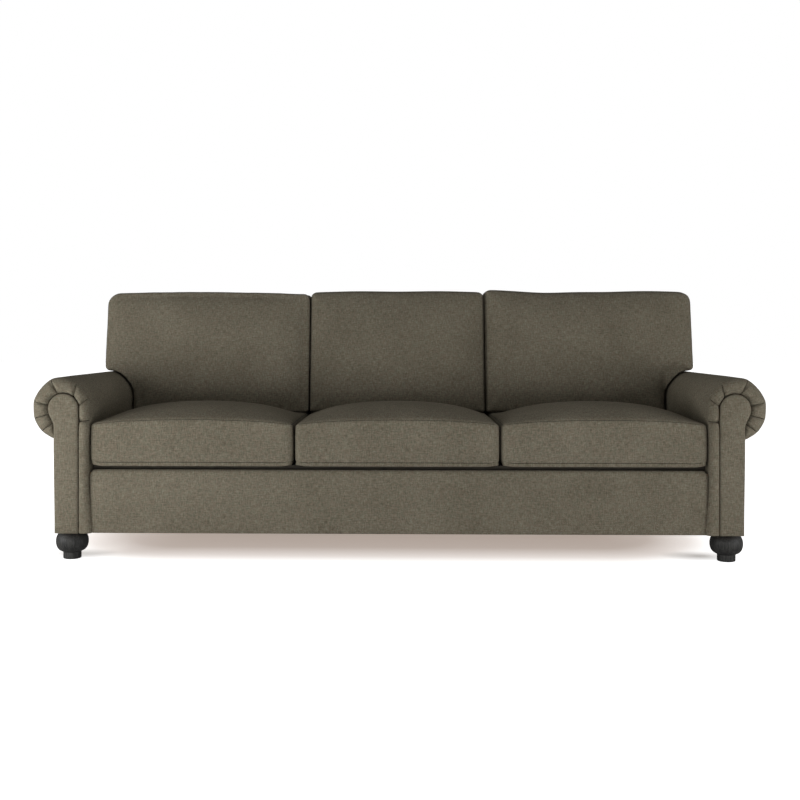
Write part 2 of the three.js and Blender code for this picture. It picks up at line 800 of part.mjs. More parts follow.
// A crowned closed form. levels run from one face to the other: each has the share of the
// outline that it lies on and the height of each outline point there. Its ends close on the centre.
function crownedForm(outline, centre, levels, endHeights) {
  const count = outline.length;
  const positions = [centre.x, centre.y, endHeights[0]];
  for (const level of levels) {
    outline.forEach((point) => {
      const x = centre.x + (point.spot.x - centre.x) * level.share;
      const y = centre.y + (point.spot.y - centre.y) * level.share;
      positions.push(x, y, level.height(point));
    });
  }
  positions.push(centre.x, centre.y, endHeights[1]);
  const at = (level, i) => 1 + level * count + (i % count);
  const lastPoint = 1 + levels.length * count;
  const indices = [];
  for (let i = 0; i < count; i += 1) {
    indices.push(0, at(0, i + 1), at(0, i));
    indices.push(lastPoint, at(levels.length - 1, i), at(levels.length - 1, i + 1));
  }
  for (let level = 0; level < levels.length - 1; level += 1) {
    for (let i = 0; i < count; i += 1) {
      indices.push(at(level, i), at(level, i + 1), at(level + 1, i + 1));
      indices.push(at(level, i), at(level + 1, i + 1), at(level + 1, i));
    }
  }
  const geometry = new THREE.BufferGeometry();
  geometry.setAttribute('position', new THREE.Float32BufferAttribute(positions, 3));
  geometry.setIndex(indices);
  return closed(geometry);
}

// How full a cushion is at a spot, from 0 at its sides to 1 at its centre. Each side holds
// the cover down, the more the nearer it is, and what rests on it past restAt presses it flat.
function fullness(corners, restAt, spot, centre) {
  const ease = (distance) => 1 - Math.exp(-distance / crownEase);
  const hold = (at) => corners.reduce((product, corner, i) => {
    const next = corners[(i + 1) % corners.length];
    const start = new THREE.Vector2(corner[0], corner[1]);
    const along = new THREE.Vector2(next[0], next[1]).sub(start);
    const reach = at.clone().sub(start);
    const t = THREE.MathUtils.clamp(reach.dot(along) / along.lengthSq(), 0, 1);
    return product * ease(reach.addScaledVector(along, -t).length());
  }, ease(Math.max(restAt - at.y, 0)));
  return hold(spot) / hold(centre);
}

// Levels of a boxed cushion: a near face, a boxing that swells past its seams, a crowned face
function cushionLevels(corners, centre, restAt, nearFace, nearSeam, farSeam, peak) {
  const levels = undersideRingShares.map((share) => ({ share, height: () => nearFace }));
  const edge = (point) => farSeam + point.rise;
  levels.push({ share: cushionSeamShare, height: () => nearSeam });
  levels.push({ share: 1, height: (point) => (nearSeam + edge(point)) / 2 });
  levels.push({ share: cushionSeamShare, height: edge });
  for (const share of crownRingShares) {
    const height = (point) => {
      const spot = centre.clone().lerp(point.spot, share);
      const low = farSeam + point.rise * share;
      return low + (peak - low) * fullness(corners, restAt, spot, centre);
    };
    levels.push({ share, height });
  }
  return levels;
}

const seatFrontY = frontY + seatCushionSetback;
const seatRearY = insideY(deckHeight) - padGap;
const seatSeamZ = deckHeight + seatSeamHeight;
const backCushionFrontY = insideY(seatSeamZ) - padGap - backCushionRearCrown - backCushionBoxing;

function seatCushion(name, x) {
  const radius = cushionCornerRadius;
  const corners = [
    [x[0], seatFrontY, radius, 0, seatSeamRise],
    [x[1], seatFrontY, radius, seatSideDraw, 0],
    [x[1], seatRearY, radius, 0, 0],
    [x[0], seatRearY, radius, seatSideDraw, 0],
  ];
  const centre = new THREE.Vector2((x[0] + x[1]) / 2, (seatFrontY + seatRearY) / 2);
  const peak = deckHeight + seatCrownHeight;
  const underSeam = deckHeight + seatUnderCurve;
  const restAt = backCushionFrontY;
  const levels = cushionLevels(corners, centre, restAt, deckHeight, underSeam, seatSeamZ, peak);
  const form = crownedForm(drawnOutline(corners), centre, levels, [deckHeight, peak]);
  const inset = wrapThickness;
  const coreX = [x[0] + inset, x[1] - inset];
  const coreY = [seatFrontY + inset, seatRearY - inset];
  const coreZ = [deckHeight + inset / 2, seatSeamZ - inset / 2];
  const grow = (range) => [range[0] - fitGap, range[1] + fitGap];
  const pocket = box(grow(coreX), grow(coreY), grow(coreZ));
  const zipHalf = (x[1] - x[0]) * zipLengthShare / 2;
  const zipZ = (coreZ[0] + coreZ[1]) / 2;
  const zip = box(
    [centre.x - zipHalf, centre.x + zipHalf],
    [coreY[1] - cutOverrun, seatRearY + cutOverrun],
    [zipZ - zipWidth / 2, zipZ + zipWidth / 2],
  );
  const cover = toSolid(form).subtract(toSolid(pocket)).subtract(toSolid(zip));
  place(`seat_cushion_${name}_cover`, fromSolid(cover), fabricLook);
  place(`seat_cushion_${name}_core`, box(coreX, coreY, coreZ), foamLook);
}

const backBottomZ = seatSeamZ + fitGap;
const earZ = armHeight + earGap;
const earX = armOutsideX - earOutsideInset;

// Back cushion in X and Z, from its inner edge to its outer edge. One that has an ear
// reaches out over the arm.
function backCushionCorners(x, hasEar) {
  const small = topInnerRadius;
  const corners = [[x[0], backBottomZ, cushionCornerRadius, 0, 0]];
  if (hasEar) {
    corners.push([x[1], backBottomZ, cushionCornerRadius, 0, 0]);
    corners.push([x[1], earZ, notchRadius, 0, 0]);
    corners.push([earX, earZ, cushionCornerRadius / 2, 0, 0]);
    corners.push([earX, overallHeight, topOuterRadius, 0, 0]);
  } else {
    corners.push([x[1], backBottomZ, cushionCornerRadius, backCushionSideDraw, 0]);
    corners.push([x[1], overallHeight, small, 0, 0]);
  }
  corners.push([x[0], overallHeight, small, backCushionSideDraw, 0]);
  return corners;
}

// The foam block inside, square cut. One for an eared cushion has an ear too.
function backCoreOutline(x, hasEar, grow) {
  const inset = wrapThickness - grow;
  const low = backBottomZ + backCushionBottomRise + inset;
  const high = overallHeight - inset;
  const left = x[0] + inset;
  const right = x[1] - inset;
  if (!hasEar) {
    return [[left, low], [right, low], [right, high], [left, high]];
  }
  const earLow = earZ + inset;
  return [
    [left, low], [right, low], [right, earLow], [earX - 2 * inset, earLow],
    [earX - 2 * inset, high], [left, high],
  ];
}

// The bottom of a back cushion rises towards its front, where it rests on the seat's crown
function raiseFront(form, frontSeam) {
  const position = form.attributes.position;
  for (let i = 0; i < position.count; i += 1) {
    const forward = position.getZ(i) / frontSeam;
    const down = THREE.MathUtils.clamp((earZ - position.getY(i)) / (earZ - backBottomZ), 0, 1);
    position.setY(i, position.getY(i) + backCushionBottomRise * forward * down);
  }
}

function backCushion(name, x, hasEar, sign) {
  const outerX = hasEar ? earX : x[1];
  const centre = new THREE.Vector2((x[0] + outerX) / 2, (earZ + overallHeight) / 2);
  if (!hasEar) {
    centre.y = (backBottomZ + overallHeight) / 2;
  }
  const rear = -padGap;
  const rearSeam = rear - backCushionRearCrown;
  const frontSeam = rearSeam - backCushionBoxing;
  const peak = frontSeam - backCushionCrown;
  const corners = backCushionCorners(x, hasEar);
  const levels = cushionLevels(corners, centre, Infinity, rear, rearSeam, frontSeam, peak);
  const form = crownedForm(drawnOutline(corners), centre, levels, [rear, peak]);
  raiseFront(form, frontSeam);
  const turn = new THREE.Matrix4().makeBasis(
    new THREE.Vector3(1, 0, 0),
    new THREE.Vector3(0, 0, 1),
    new THREE.Vector3(0, 1, 0),
  );
  form.applyMatrix4(turn);
  const coreY = [frontSeam + wrapThickness, rearSeam - wrapThickness / 2];
  const pocketY = [coreY[0] - fitGap, coreY[1] + fitGap];
  const pocket = plateAlongY(backCoreOutline(x, hasEar, fitGap), pocketY);
  const core = plateAlongY(backCoreOutline(x, hasEar, 0), coreY);
  const zipHalf = (x[1] - x[0]) * zipLengthShare / 2;
  const zipX = (x[0] + x[1]) / 2;
  const zipY = (coreY[0] + coreY[1]) / 2;
  const zip = box(
    [zipX - zipHalf, zipX + zipHalf],
    [zipY - zipWidth / 2, zipY + zipWidth / 2],
    [backBottomZ - cutOverrun, backBottomZ + backCushionBottomRise + wrapThickness + cutOverrun],
  );
  const cover = toSolid(form).subtract(toSolid(pocket)).subtract(toSolid(zip));
  const coverForm = leaned(fromSolid(cover), insideY);
  place(`back_cushion_${name}_cover`, forSide(coverForm, sign), fabricLook);
  place(`back_cushion_${name}_core`, forSide(leaned(core, insideY), sign), foamLook);
}

function addCushions() {
  const middleX = (seatPitch - cushionGap) / 2;
  const innerX = (seatPitch + cushionGap) / 2;
  const backMiddleX = (seatPitch - backCushionGap) / 2;
  const backInnerX = (seatPitch + backCushionGap) / 2;
  const outerX = armInsideX - cushionArmGap;
  seatCushion('left', [-outerX, -innerX]);
  seatCushion('middle', [-middleX, middleX]);
  seatCushion('right', [innerX, outerX]);
  backCushion('left', [backInnerX, outerX], true, -1);
  backCushion('middle', [-backMiddleX, backMiddleX], false, 1);
  backCushion('right', [backInnerX, outerX], true, 1);
}

for (const [side, sign] of sides) {
  addArm(side, sign);
}
addFeet();
addSeatBox();
addSeat();
addBack();
addCushions();

export default sofa;
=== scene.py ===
"""Looks of an english roll arm sofa for three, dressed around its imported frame.

Metres, +Z up, the front faces -Y. Left is at -X and right at +X, as seen from the front.
Every size that the frame holds is read from it. The other sizes are fields of the classes.
"""

import logging
import math
from collections.abc import Callable, Iterable, Sequence
from dataclasses import dataclass, field
from enum import Enum
from functools import reduce

import bmesh
import bpy
from bmesh.types import BMesh, BMFace, BMVert
from bpy.types import Material, Node, NodeSocket, Object
from mathutils import Matrix, Vector, kdtree, noise


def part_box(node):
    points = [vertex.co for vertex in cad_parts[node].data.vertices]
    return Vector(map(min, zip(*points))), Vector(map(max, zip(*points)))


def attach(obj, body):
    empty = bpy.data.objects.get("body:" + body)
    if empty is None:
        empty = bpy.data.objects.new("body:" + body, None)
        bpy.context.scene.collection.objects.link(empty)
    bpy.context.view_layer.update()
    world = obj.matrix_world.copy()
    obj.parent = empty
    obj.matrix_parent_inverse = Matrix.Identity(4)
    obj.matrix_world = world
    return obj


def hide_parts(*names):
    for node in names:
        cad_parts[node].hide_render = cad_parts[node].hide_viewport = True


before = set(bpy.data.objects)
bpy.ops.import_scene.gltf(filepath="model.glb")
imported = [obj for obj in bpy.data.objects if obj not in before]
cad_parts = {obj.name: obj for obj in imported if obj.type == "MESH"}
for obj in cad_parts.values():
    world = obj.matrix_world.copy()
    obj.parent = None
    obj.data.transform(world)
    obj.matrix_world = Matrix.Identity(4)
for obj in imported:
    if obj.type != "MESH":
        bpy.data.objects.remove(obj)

log = logging.getLogger("sofa")

Pair = tuple[float, float]
Triple = tuple[float, float, float]
Spot = tuple[Vector, Pair]
Value = float | NodeSocket

CLOTH_UV = "cloth"
REST = "rest"
UP = Vector((0, 0, 1))
WELD = 1e-5


class Side(Enum):
    """The two ends of the sofa, with the sign of X there."""

    LEFT = -1
    RIGHT = 1

    @property
    def word(self) -> str:
        """The side's name in piece and node names."""
        return self.name.lower()


class Slot(Enum):
    """The record's material slots, one for each kind of dressed piece."""

    UPHOLSTERY = "upholstery"
    DECK_CLOTH = "deck_cloth"
    DUST_CLOTH = "dust_cloth"
    FOAM = "foam"
    WEBBING = "webbing"
    FOOT_WOOD = "foot_wood"


class Shader:
    """A material's node tree, with short calls to add and join its nodes."""

    def __init__(self, name: str) -> None:
        """Make an empty material.

        Args:
            name: The material's name.
        """
        self.material = bpy.data.materials.new(name)
        self.material.use_nodes = True
        self.tree = self.material.node_tree
        self.tree.nodes.clear()

    def add(self, kind: str, inputs: dict | None = None, **settings) -> Node:
        """Add a node.

        Args:
            kind: The node's type without its ShaderNode prefix.
            inputs: Socket names or numbers with a value, or with an output to join.
            **settings: The node's own properties.

        Returns:
            The new node.
        """
        node = self.tree.nodes.new("ShaderNode" + kind)
        for key, value in settings.items():
            setattr(node, key, value)
        for key, value in (inputs or {}).items():
            if isinstance(value, NodeSocket):
                self.tree.links.new(value, node.inputs[key])
            else:
                node.inputs[key].default_value = value
        return node

    def place(self) -> NodeSocket:
        """The piece's own coordinate, in metres."""
        return self.add("TexCoord").outputs["Object"]

    def math(self, operation: str, a: Value, b: Value = 0.0) -> NodeSocket:
        """Join two numbers or outputs by one math operation."""
        return self.add("Math", {0: a, 1: b}, operation=operation).outputs[0]

    def vector(
        self, operation: str, a: NodeSocket, b: NodeSocket | Triple = (0, 0, 0)
    ) -> NodeSocket:
        """Join two vectors or outputs by one vector operation."""
        node = self.add("VectorMath", {0: a, 1: b}, operation=operation)
        return node.outputs["Value" if operation == "LENGTH" else "Vector"]

    def weighted(self, *parts: tuple[NodeSocket, float]) -> NodeSocket:
        """Add up outputs, each times its share."""
        shared = [self.math("MULTIPLY", part, share) for part, share in parts]
        return reduce(lambda total, part: self.math("ADD", total, part), shared)

    def scaled(self, vector: NodeSocket, scale: Triple) -> NodeSocket:
        """Scale a coordinate by a factor for each axis."""
        return self.add("Mapping", {"Vector": vector, "Scale": scale}).outputs["Vector"]

    def noise(
        self, vector: NodeSocket, scale: float, detail: float = 2.0, rough: float = 0.5
    ) -> NodeSocket:
        """Add a noise texture, with its scale in cells for each unit of the coordinate."""
        inputs = {"Vector": vector, "Scale": scale, "Detail": detail, "Roughness": rough}
        return self.add("TexNoise", inputs).outputs[0]

    def ramp(self, value: NodeSocket, stops: Sequence[tuple[float, Triple]]) -> NodeSocket:
        """Turn a value into a colour.

        Args:
            value: The value's output.
            stops: Positions with their linear colours.

        Returns:
            The colour's output.
        """
        node = self.add("ValToRGB", {0: value})
        elements = node.color_ramp.elements
        while len(elements) < len(stops):
            elements.new(0.5)
        for element, (position, colour) in zip(elements, stops):
            element.position = position
            element.color = (*colour, 1.0)
        return node.outputs[0]

    def tinted(self, colour: NodeSocket, tint: NodeSocket, share: float = 1.0) -> NodeSocket:
        """Multiply a colour by a share of a tint."""
        inputs = {0: share, 6: colour, 7: tint}
        return self.add("Mix", inputs, data_type="RGBA", blend_type="MULTIPLY").outputs[2]

    def bump(
        self, height: NodeSocket, distance: float, normal: NodeSocket | None = None
    ) -> NodeSocket:
        """Add a bump.

        Args:
            height: The height's output, from 0 to 1.
            distance: The bump's depth in metres.
            normal: A normal's output that this bump adds to.

        Returns:
            The normal's output.
        """
        inputs = {"Height": height, "Distance": distance, "Strength": 1.0}
        if normal is not None:
            inputs["Normal"] = normal
        return self.add("Bump", inputs).outputs[0]

    def between(
        self, value: NodeSocket, stops: Pair, low: float | Triple, high: float | Triple
    ) -> NodeSocket:
        """Turn a value into a colour or a grey between two, one at each of two stops."""
        colours = (c if isinstance(c, tuple) else (c,) * 3 for c in (low, high))
        return self.ramp(value, list(zip(stops, colours)))

    def surface(self, inputs: dict) -> Material:
        """End the tree with a Principled surface, and give the finished material."""
        shader = self.add("BsdfPrincipled", inputs)
        self.add("OutputMaterial", {"Surface": shader.outputs[0]})
        return self.material


@dataclass(frozen=True)
class WovenCloth:
    """Heathered plain weave: yarns of three tones, slubs both ways, a mottle, painted shade in its
    valleys.
    """

    name: str
    dark: Triple
    middle: Triple
    light: Triple
    yarn: float = 0.0016
    slub: float = 0.011
    streak: Pair = (0.0034, 0.02)
    speck: float = 0.005
    patch: float = 0.16
    weave_depth: float = 0.00035
    slub_depth: float = 0.0003
    sheen: float = 0.06
    tone_shares: tuple[float, float, float, float] = (0.25, 0.48, 0.17, 0.1)
    tone_stops: Triple = (0.41, 0.5, 0.59)
    cool: Triple = (0.97, 1.015, 1.0)
    warm: Triple = (1.03, 0.985, 0.97)
    warm_stops: Pair = (0.38, 0.62)
    # Painted shade: the weave's valleys darker and its crests a little lighter, by the weave's
    # height.
    weave_painted_shade: Pair = (0.86, 1.03)
    weave_stops: Pair = (0.0, 0.6)
    weave_share: float = 0.8
    rough: float = 0.6

    def crossed(self, s: Shader, laid: NodeSocket, width: float, length: float) -> NodeSocket:
        """Mark both yarns: long narrow marks along the warp and along the weft."""
        warp = s.noise(s.scaled(laid, (1 / width, 1 / length, 1)), 1.0, rough=self.rough)
        weft = s.noise(s.scaled(laid, (1 / length, 1 / width, 1)), 1.0, rough=self.rough)
        return s.weighted((warp, 0.5), (weft, 0.5))

    def material(self) -> Material:
        """Build the cloth's material, which follows the piece's cloth UV map."""
        s = Shader(self.name)
        place = s.place()
        along = s.add("UVMap", uv_map=CLOTH_UV).outputs[0]
        wobble = s.add("TexNoise", {"Vector": along, "Scale": 1 / (6 * self.yarn)}).outputs[1]
        bend = s.vector("MULTIPLY", wobble, (self.yarn / 3,) * 3)
        laid = s.vector("ADD", along, bend)
        ways = s.add("SeparateXYZ", {0: laid}).outputs
        turn = 2 * math.pi / self.yarn
        warp, weft = (s.math("SINE", s.math("MULTIPLY", way, turn)) for way in ways[:2])
        weave = s.math("MULTIPLY_ADD", s.math("MULTIPLY", warp, weft), 0.5)
        weave.node.inputs[2].default_value = 0.5
        slub = self.crossed(s, laid, self.yarn, self.slub)
        streak = self.crossed(s, along, *self.streak)
        speck = s.noise(place, 1 / self.speck, rough=self.rough)
        patch = s.noise(place, 1 / self.patch)
        tone = s.weighted(*zip((slub, streak, speck, patch), self.tone_shares))
        colour = s.ramp(tone, list(zip(self.tone_stops, (self.dark, self.middle, self.light))))
        hue = s.noise(place, 0.6 / self.speck, detail=3.0)
        colour = s.tinted(colour, s.between(hue, self.warm_stops, self.cool, self.warm))
        # Painted shade in the weave's valleys, and a faint painted highlight on its crests.
        painted_valley_shade = s.between(weave, self.weave_stops, *self.weave_painted_shade)
        colour = s.tinted(colour, painted_valley_shade, share=self.weave_share)
        normal = s.bump(slub, self.slub_depth)
        normal = s.bump(weave, self.weave_depth, normal)
        return s.surface({
            "Base Color": colour,
            "Roughness": 0.95,
            "Specular IOR Level": 0.2,
            "Sheen Weight": self.sheen,
            "Sheen Roughness": 0.55,
            "Sheen Tint": (0.7, 0.62, 0.46, 1.0),
            "Normal": normal,
        })


@dataclass(frozen=True)
class PlainCloth:
    """Thin woven or non-woven cloth that reads its pattern from its place."""

    name: str
    base: Triple
    shade: Triple
    thread: float = 0.0012
    depth: float = 0.0002
    stretch: float = 12.0
    mottle_scale: float = 25.0
    stops: Pair = (0.35, 0.62)

    def material(self) -> Material:
        """Build the material: fine threads crossed both ways, and a soft variation."""
        s = Shader(self.name)
        place = s.place()
        fine = 1 / self.thread
        long = fine / self.stretch
        first = s.noise(s.scaled(place, (fine, long, fine)), 1.0)
        second = s.noise(s.scaled(place, (long, fine, fine)), 1.0)
        threads = s.weighted((first, 0.5), (second, 0.5))
        soft = s.noise(place, self.mottle_scale, detail=3.0)
        tone = s.weighted((threads, 0.5), (soft, 0.5))
        return s.surface({
            "Base Color": s.between(tone, self.stops, self.shade, self.base),
            "Roughness": 0.9,
            "Specular IOR Level": 0.2,
            "Sheen Weight": 0.1,
            "Normal": s.bump(threads, self.depth),
        })


@dataclass(frozen=True)
class TurnedWood:
    """Black stained open-grained wood: fine upright pores with a satin finish."""

    name: str = "black_stained_oak"
    dark: Triple = (0.0035, 0.0035, 0.0032)
    pore: Triple = (0.04, 0.039, 0.035)
    grain: float = 0.0022
    length: float = 0.07
    depth: float = 0.0007
    shares: Pair = (0.7, 0.3)
    stops: Pair = (0.4, 0.66)
    satin: Pair = (0.75, 0.55)
    satin_stops: Pair = (0.3, 0.7)

    def material(self) -> Material:
        """Build the material, with its grain upright."""
        s = Shader(self.name)
        place = s.place()
        fine = 1 / self.grain
        narrow = s.scaled(place, (fine, fine, 1 / self.length))
        grain = s.noise(narrow, 1.0, detail=3.0, rough=0.65)
        broad = s.noise(s.scaled(place, (fine / 5, fine / 5, 1 / self.length)), 1.0)
        tone = s.weighted(*zip((grain, broad), self.shares))
        return s.surface({
            "Base Color": s.between(tone, self.stops, self.dark, self.pore),
            "Roughness": s.between(grain, self.satin_stops, *self.satin),
            "Specular IOR Level": 0.45,
            "Coat Weight": 0.12,
            "Coat Roughness": 0.35,
            "Normal": s.bump(grain, self.depth),
        })


@dataclass(frozen=True)
class SawnWood:
    """Frame timber: pale sawn hardwood with growth rings along its length."""

    name: str = "frame_beech"
    early: Triple = (0.46, 0.31, 0.18)
    late: Triple = (0.31, 0.19, 0.1)
    ring: float = 0.009
    fleck_scale: float = 900.0
    fleck_depth: float = 0.0002
    shares: Pair = (0.75, 0.25)
    stops: Pair = (0.38, 0.6)

    def material(self) -> Material:
        """Build the material, with its grain along X."""
        s = Shader(self.name)
        place = s.place()
        long = s.scaled(place, (0.08, 1.0, 1.0))
        rings = s.noise(long, 1 / self.ring, detail=3.0, rough=0.55)
        fleck = s.noise(s.scaled(place, (0.2, 1.0, 1.0)), self.fleck_scale)
        tone = s.weighted(*zip((rings, fleck), self.shares))
        return s.surface({
            "Base Color": s.between(tone, self.stops, self.late, self.early),
            "Roughness": 0.68,
            "Specular IOR Level": 0.35,
            "Normal": s.bump(fleck, self.fleck_depth),
        })


@dataclass(frozen=True)
class Foam:
    """Cut polyurethane foam: open cells with a chalky surface, and painted shade in the cells'
    hollows.
    """

    name: str = "cushion_foam"
    base: Triple = (0.72, 0.64, 0.45)
    cell_hollow_shade: Triple = (0.5, 0.42, 0.26)
    cell: float = 0.0016
    cell_depth: float = 0.0006
    cell_stops: Pair = (0.1, 0.5)
    aged: Triple = (0.92, 0.9, 0.84)
    aged_scale: float = 6.0
    aged_stops: Pair = (0.35, 0.65)

    def material(self) -> Material:
        """Build the material."""
        s = Shader(self.name)
        place = s.place()
        cells = s.add("TexVoronoi", {"Vector": place, "Scale": 1 / self.cell}).outputs[0]
        # Painted shade: each cell darker towards its hollow middle.
        colour = s.between(cells, self.cell_stops, self.cell_hollow_shade, self.base)
        tint = s.between(s.noise(place, self.aged_scale), self.aged_stops, self.aged, 1.0)
        return s.surface({
            "Base Color": s.tinted(colour, tint),
            "Roughness": 0.92,
            "Specular IOR Level": 0.2,
            "Normal": s.bump(cells, self.cell_depth),
        })


@dataclass(frozen=True)
class DrawnSteel:
    """Spring wire and bolts: drawn steel with fine lines and a little dulling."""

    name: str
    base: Triple = (0.42, 0.42, 0.41)
    dull: Triple = (0.2, 0.19, 0.18)
    line_scale: Triple = (900.0, 60.0, 900.0)
    line_depth: float = 0.0001
    stain_scale: float = 40.0
    stain_stops: Pair = (0.35, 0.6)
    rough: Pair = (0.5, 0.3)
    rough_stops: Pair = (0.3, 0.7)

    def material(self) -> Material:
        """Build the material."""
        s = Shader(self.name)
        place = s.place()
        lines = s.noise(s.scaled(place, self.line_scale), 1.0)
        stain = s.noise(place, self.stain_scale, detail=3.0)
        return s.surface({
            "Base Color": s.between(stain, self.stain_stops, self.dull, self.base),
            "Metallic": 1.0,
            "Roughness": s.between(lines, self.rough_stops, *self.rough),
            "Normal": s.bump(lines, self.line_depth),
        })


class Finishes:
    """The sofa's materials, each built once."""

    def __init__(self) -> None:
        """Build every material."""
        self.upholstery = WovenCloth(
            "heathered_tweed",
            dark=(0.104, 0.09, 0.064),
            middle=(0.158, 0.139, 0.102),
            light=(0.226, 0.202, 0.154),
        ).material()
        # The seams' thread, painted dark to stand for the shade along the seams and in the pleats'
        # creases.
        self.seam = PlainCloth(
            "seam_thread_painted_shade", (0.032, 0.028, 0.02), (0.016, 0.014, 0.01)
        ).material()
        # The deck cloth: its colour darkened to paint the shade in the gap under the seat cushions.
        self.deck = PlainCloth(
            "deck_cloth", (0.05, 0.044, 0.034), (0.03, 0.026, 0.02)
        ).material()
        self.dust = PlainCloth(
            "dust_cloth", (0.014, 0.014, 0.015), (0.008, 0.008, 0.009), thread=0.002
        ).material()
        self.webbing = PlainCloth(
            "jute_webbing", (0.36, 0.27, 0.15), (0.2, 0.14, 0.07), thread=0.0025, depth=0.0006
        ).material()
        self.foam = Foam().material()
        self.frame_wood = SawnWood().material()
        self.foot_wood = TurnedWood().material()
        self.springs = DrawnSteel("spring_wire").material()
        self.bolts = DrawnSteel("bolt_steel", (0.5, 0.5, 0.48), (0.3, 0.29, 0.27)).material()


@dataclass(frozen=True)
class Layout:
    """Main places of the sofa, read from the frame."""

    arm_inside: float
    arm_outside: float
    half_width: float
    facing_inside: float
    head_x: float
    roll_z: float
    roll_height: float
    head_radius: float
    front: float
    facing_back: float
    base: float
    deck: float
    back_bottom: float
    back_top: float
    inside_foot_y: float
    rear_top_y: float
    rear_lean: float
    inside_lean: float = 0.093
    cover: float = 0.004

    @classmethod
    def from_frame(cls) -> "Layout":
        """Read the places from the frame's nodes."""
        arm_low, arm_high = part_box("arm_cover_right")
        facing_low, facing_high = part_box("arm_front_panel_right")
        panel_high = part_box("outside_arm_panel_right")[1]
        inside_low, inside_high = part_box("inside_back_cover")
        rear_low, rear_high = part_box("outside_back_panel")
        deck_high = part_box("deck_panel")[1]
        head = (facing_high.x - facing_low.x) / 2
        roll_z = facing_high.z - head
        return cls(
            arm_inside=arm_low.x,
            arm_outside=panel_high.x,
            half_width=arm_high.x,
            facing_inside=facing_low.x,
            head_x=facing_low.x + head,
            roll_z=roll_z,
            roll_height=arm_high.z - roll_z,
            head_radius=head,
            front=arm_low.y,
            facing_back=facing_high.y,
            base=arm_low.z,
            deck=deck_high.z,
            back_bottom=inside_low.z,
            back_top=inside_high.z,
            inside_foot_y=inside_low.y,
            rear_top_y=rear_high.y,
            rear_lean=rear_high.y - rear_low.y - cls.cover,
        )

    def inside_y(self, z: float) -> float:
        """The inside back's face at a height."""
        rise = (z - self.back_bottom) / (self.back_top - self.back_bottom)
        return self.inside_foot_y + self.inside_lean * rise

    def rear_y(self, z: float) -> float:
        """The outside back's face at a height."""
        drop = (self.back_top - z) / (self.back_top - self.base)
        return self.rear_top_y - self.rear_lean * drop

    def reach_back(self, z: float, gap: float) -> float:
        """How far back a piece reaches at a height, with a gap to the outside back."""
        return self.rear_y(z) - self.cover - gap

    @property
    def roll_x(self) -> float:
        """X of the roll's centre."""
        return (self.arm_inside + self.half_width) / 2

    @property
    def roll_width(self) -> float:
        """The roll's reach to each side of its centre."""
        return (self.half_width - self.arm_inside) / 2

    @property
    def edge_radius(self) -> float:
        """How deep the cloth rounds from the facing's seam to the arm's face."""
        return self.roll_width - self.head_radius


def smoothstep(low: float, high: float, value: float) -> float:
    """Rise smoothly from 0 at low to 1 at high."""
    share = min(max((value - low) / (high - low), 0.0), 1.0)
    return share * share * (3 - 2 * share)


def arch(share: float) -> float:
    """Rise from 0 at a share of 0 to 1 at the middle, and fall to 0 at a share of 1."""
    return 4 * share * (1 - share)


def linked(name: str, data: bpy.types.ID) -> Object:
    """Make an object of a mesh, camera or light, and put it in the scene."""
    piece = bpy.data.objects.new(name, data)
    bpy.context.scene.collection.objects.link(piece)
    return piece


def face_outwards(bm: BMesh) -> None:
    """Turn every face of a closed bmesh outwards."""
    bmesh.ops.recalc_face_normals(bm, faces=bm.faces)


def end_face(bm: BMesh, side: int) -> BMFace:
    """The face that lies farthest to the front (-1) or to the rear (1)."""
    return max(bm.faces, key=lambda face: side * face.calc_center_median().y)


def split_large(bm: BMesh) -> None:
    """Cut every face of more than four corners into triangles."""
    bmesh.ops.triangulate(bm, faces=[face for face in bm.faces if len(face.verts) > 4])


def bevelled(bm: BMesh, edges: Sequence, offset: float, segments: int = 3) -> None:
    """Round edges off by an offset."""
    bmesh.ops.bevel(
        bm, geom=edges, offset=offset, offset_type="OFFSET", segments=segments,
        profile=0.5, affect="EDGES", material=-1,
    )


def finish_mesh(bm: BMesh, name: str, material: Material, recalc: bool = True) -> Object:
    """Make a smooth-shaded object of a bmesh, link it and give it its material.

    Args:
        bm: The bmesh, which is freed.
        name: The object's name.
        material: Its material.
        recalc: Whether the normals are recalculated.

    Returns:
        The new object.
    """
    if recalc:
        face_outwards(bm)
    mesh = bpy.data.meshes.new(name)
    bm.to_mesh(mesh)
    bm.free()
    mesh.materials.append(material)
    mesh.shade_smooth()
    return linked(name, mesh)


def baked(piece: Object) -> None:
    """Apply every modifier of a piece to its mesh."""
    graph = bpy.context.evaluated_depsgraph_get()
    mesh = bpy.data.meshes.new_from_object(
        piece.evaluated_get(graph), preserve_all_data_layers=True, depsgraph=graph
    )
    old = piece.data
    piece.modifiers.clear()
    piece.data = mesh
    mesh.name = piece.name
    bpy.data.meshes.remove(old)


def subdivided(piece: Object, levels: int = 1) -> None:
    """Add a Subdivision Surface modifier with like levels in the view and the render."""
    modifier = piece.modifiers.new("subdivision", "SUBSURF")
    modifier.levels = levels
    modifier.render_levels = levels
    modifier.uv_smooth = "NONE"


def thickened(piece: Object, thickness: float, offset: float = -1.0) -> None:
    """Give a sheet its thickness: inwards from its face, or to both sides at an offset of 0."""
    modifier = piece.modifiers.new("thickness", "SOLIDIFY")
    modifier.thickness = thickness
    modifier.offset = offset
    modifier.use_even_offset = offset < 0


def settle(
    piece: Object, slot: Slot, *nodes: str, fill: float | None = None, body: str = "frame"
) -> None:
    """Place a finished piece on its body, hide the frame's nodes that it replaces, and log it.

    Args:
        piece: The piece.
        slot: The record's material slot; not used.
        *nodes: The frame's nodes that it replaces.
        fill: How tight a padded piece is filled; not used.
        body: The body that it moves with.
    """
    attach(piece, body)
    if nodes:
        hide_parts(*nodes)
    log.info("%s: %d vertices on %s", piece.name, len(piece.data.vertices), body)


